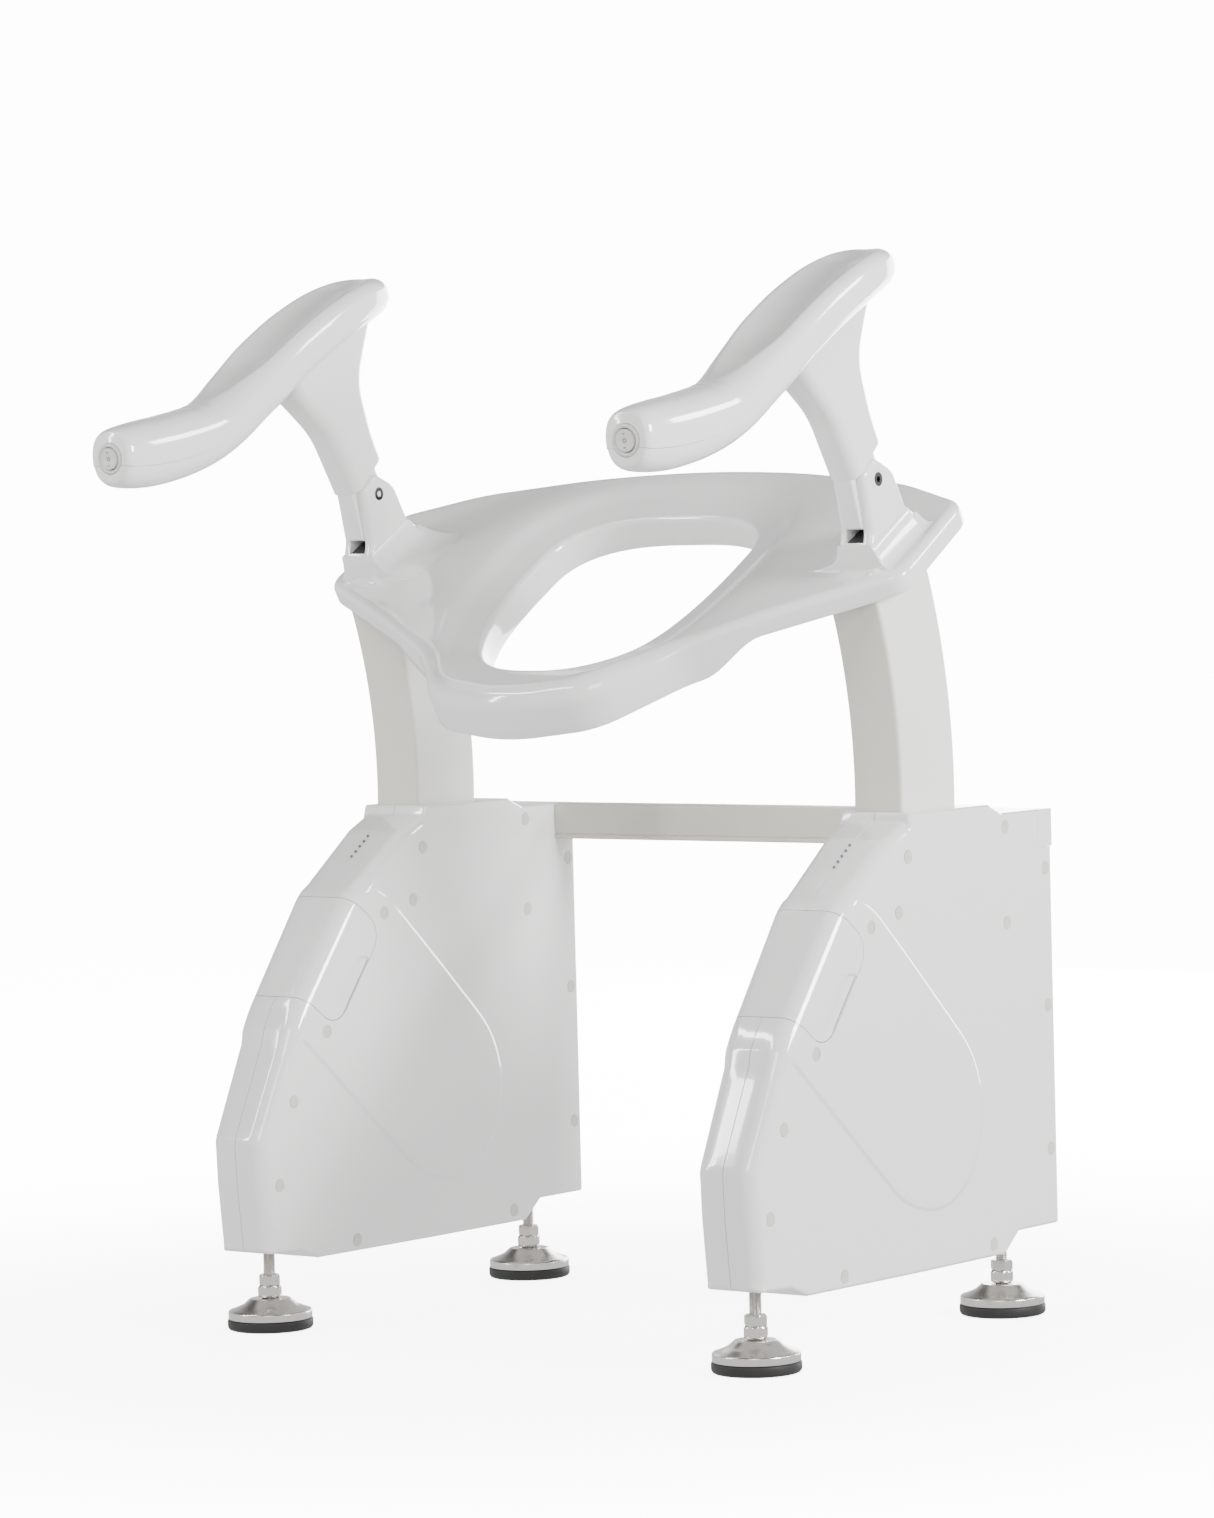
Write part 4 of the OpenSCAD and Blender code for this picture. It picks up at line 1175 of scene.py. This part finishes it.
def crossbar():
    """The cover over the crossbar, with a fine line along its front face."""
    half = SIDE_X - HALF_WIDTH - 0.15
    line = [[209, 442.5, 1.5], [237, 442.5, 1.5], [237, 478, 1.5], [209, 478, 1.5], [209, 448.4, 0.3],
            [210.0, 447.8, 0.3], [210.0, 447.0, 0.3], [209, 446.4, 0.3]]
    ob = soft_prism("bar", line, -half, half, 0.25, 0.25, 3, 4)
    boolean(ob, box_mesh("tube", (-300, 213.9, 448.9), (300, 233.1, 472.1)))
    ob.name = "bar_cover"
    finish_piece(ob, BEIGE, "base", ["crossbar_cover"], 30)


# ------ camera, light, floor


def camera():
    where = Vector((3.1222, -4.1551, 0.7588))
    az, pitch, roll = math.radians(37.08), math.radians(2.47), math.radians(1.42)
    back = Vector((math.sin(az) * math.cos(pitch), -math.cos(az) * math.cos(pitch), math.sin(pitch)))
    right = Vector((math.cos(az), math.sin(az), 0))
    up = back.cross(right)
    c, s = math.cos(roll), math.sin(roll)
    r = Matrix(((c, -s, 0), (s, c, 0), (0, 0, 1))) @ Matrix((right, up, back))
    cam = bpy.data.cameras.new("cam")
    cam.sensor_width = 36
    cam.lens = 130.4134
    ob = add("cam", cam)
    ob.matrix_world = Matrix.Translation(where) @ r.transposed().to_4x4()
    bpy.context.scene.camera = ob


def area(name, loc, aim, size, energy, size_y=None):
    """An area light at loc that points at aim and is not seen itself; sizes in metres, energy in watts."""
    light = bpy.data.lights.new(name, "AREA")
    light.energy = energy
    light.size = size
    if size_y:
        light.shape = "RECTANGLE"
        light.size_y = size_y
    o = add(name, light)
    d = Vector(loc) - Vector(aim)
    o.matrix_world = Matrix.Translation(loc) @ d.to_track_quat("Z", "Y").to_matrix().to_4x4()
    o.visible_camera = False


def ramp(nt, value, start, end, low, high):
    """Soft ramp from low at start to high at end."""
    n = node(nt, "MapRange", From_Min=start, From_Max=end, To_Min=low, To_Max=high)
    n.interpolation_type = "SMOOTHSTEP"
    nt.links.new(value, n.inputs["Value"])
    return n.outputs["Result"]


BACKDROP = 14.0         # strength of the white behind the object, which renders as paper white


def world():
    """A light box: bright around the horizon, darker overhead, and white where the camera sees it."""
    w = bpy.data.worlds.new("w")
    bpy.context.scene.world = w
    w.use_nodes = True
    nt = w.node_tree
    bg = nt.nodes["Background"]
    tc = node(nt, "TexCoord")
    sep = node(nt, "SeparateXYZ")
    nt.links.new(tc.outputs["Generated"], sep.inputs[0])
    path = node(nt, "LightPath")
    mix = node(nt, "Mix")
    mix.inputs[3].default_value = BACKDROP
    nt.links.new(path.outputs["Is Camera Ray"], mix.inputs[0])
    nt.links.new(ramp(nt, sep.outputs["Z"], 0.10, 0.70, 1.25, 0.12), mix.inputs[2])
    bg.inputs[0].default_value = (1, 1, 1, 1)
    nt.links.new(mix.outputs[0], bg.inputs[1])


def floor():
    """A white floor that grows into the backdrop; only the camera sees its glow."""
    me = bpy.data.meshes.new("floor")
    me.from_pydata([(x, y, -0.0005) for x, y in ((-30, -30), (30, -30), (30, 30), (-30, 30))], [],
                   [(0, 1, 2, 3)])
    fl = add("floor", me)
    m = material("floor", (0.93, 0.93, 0.93), rough=0.6, vary=0.003, bump=0.0)
    nt = m.node_tree
    b = nt.nodes["Principled BSDF"]
    tc = node(nt, "TexCoord")
    far = node(nt, "VectorMath")
    far.operation = "LENGTH"
    nt.links.new(tc.outputs["Object"], far.inputs[0])
    b.inputs["Emission Color"].default_value = (1, 1, 1, 1)
    glow = ramp(nt, far.outputs["Value"], 0.35, 1.6, BACKDROP / 2, BACKDROP)
    nt.links.new(glow, b.inputs["Emission Strength"])
    me.materials.append(m)
    fl.visible_diffuse = False
    fl.visible_glossy = False


def stage():
    world()
    floor()
    area("key", (1.9, -3.2, 2.1), (0, 0, 0.6), 1.2, 44)
    area("strip", (-2.2, -2.6, 1.8), (0, 0, 0.7), 0.22, 40, 1.6)
    area("top", (-1.3, -1.9, 2.6), (0, -0.1, 0.7), 2.2, 40, 0.16)
    area("side", (3.0, 0.1, 1.7), (0, 0, 0.6), 0.8, 150, 0.9)
    area("rear", (2.3, 2.0, 2.0), (0.3, 0, 0.3), 0.6, 40, 0.6)
    area("back", (-0.5, 3.6, 1.0), (-0.05, 0, 0.6), 3.2, 190, 2.0)


# ------ carried-over pieces

#  first words of the names of CAD parts; the longest that fits counts
CAD_LOOKS = [(WHITE, "hinge_block arm_body arm_top crossbar_end_covers seat housing battery_cover"),
             (STEEL_DULL, "chassis drive_pinion rack crossbar_tube crossbar_bolts seat_brackets seat_bolts"),
             (DARK, "gearmotor battery_pack guide_pads control_boxes battery_docks"),
             (STEEL, "foot_stem foot_nut foot_cone"), (BRONZE, "arm_bush pinion_bushes"),
             (BEZEL, "switch_bezel switch_rocker"), (RUBBER, "foot_rubber"), (PLUG, "screw_plugs"),
             (MARK, "charge_lights"), (BEIGE, "crossbar_cover"), (BOLT, "arm_pivot_bolts"), (COLUMN, "column")]


def carried():
    """Looks for the CAD parts, of which some are shown as they are."""
    looks = {key: mat for mat, keys in CAD_LOOKS for key in keys.split()}
    for n, o in frame["nodes"].items():
        fits = [key for key in looks if n.startswith(key)]
        if fits:
            mat = looks[max(fits, key=len)]
            if len(o.data.materials) == 0:
                o.data.materials.append(mat)
            for slot in o.material_slots:
                slot.material = mat


camera()
stage()
carried()
housings()
battery_covers()
columns()
seat()
fairings()
hinge_blocks()
arm_rests()
switches()
feet()
crossbar()
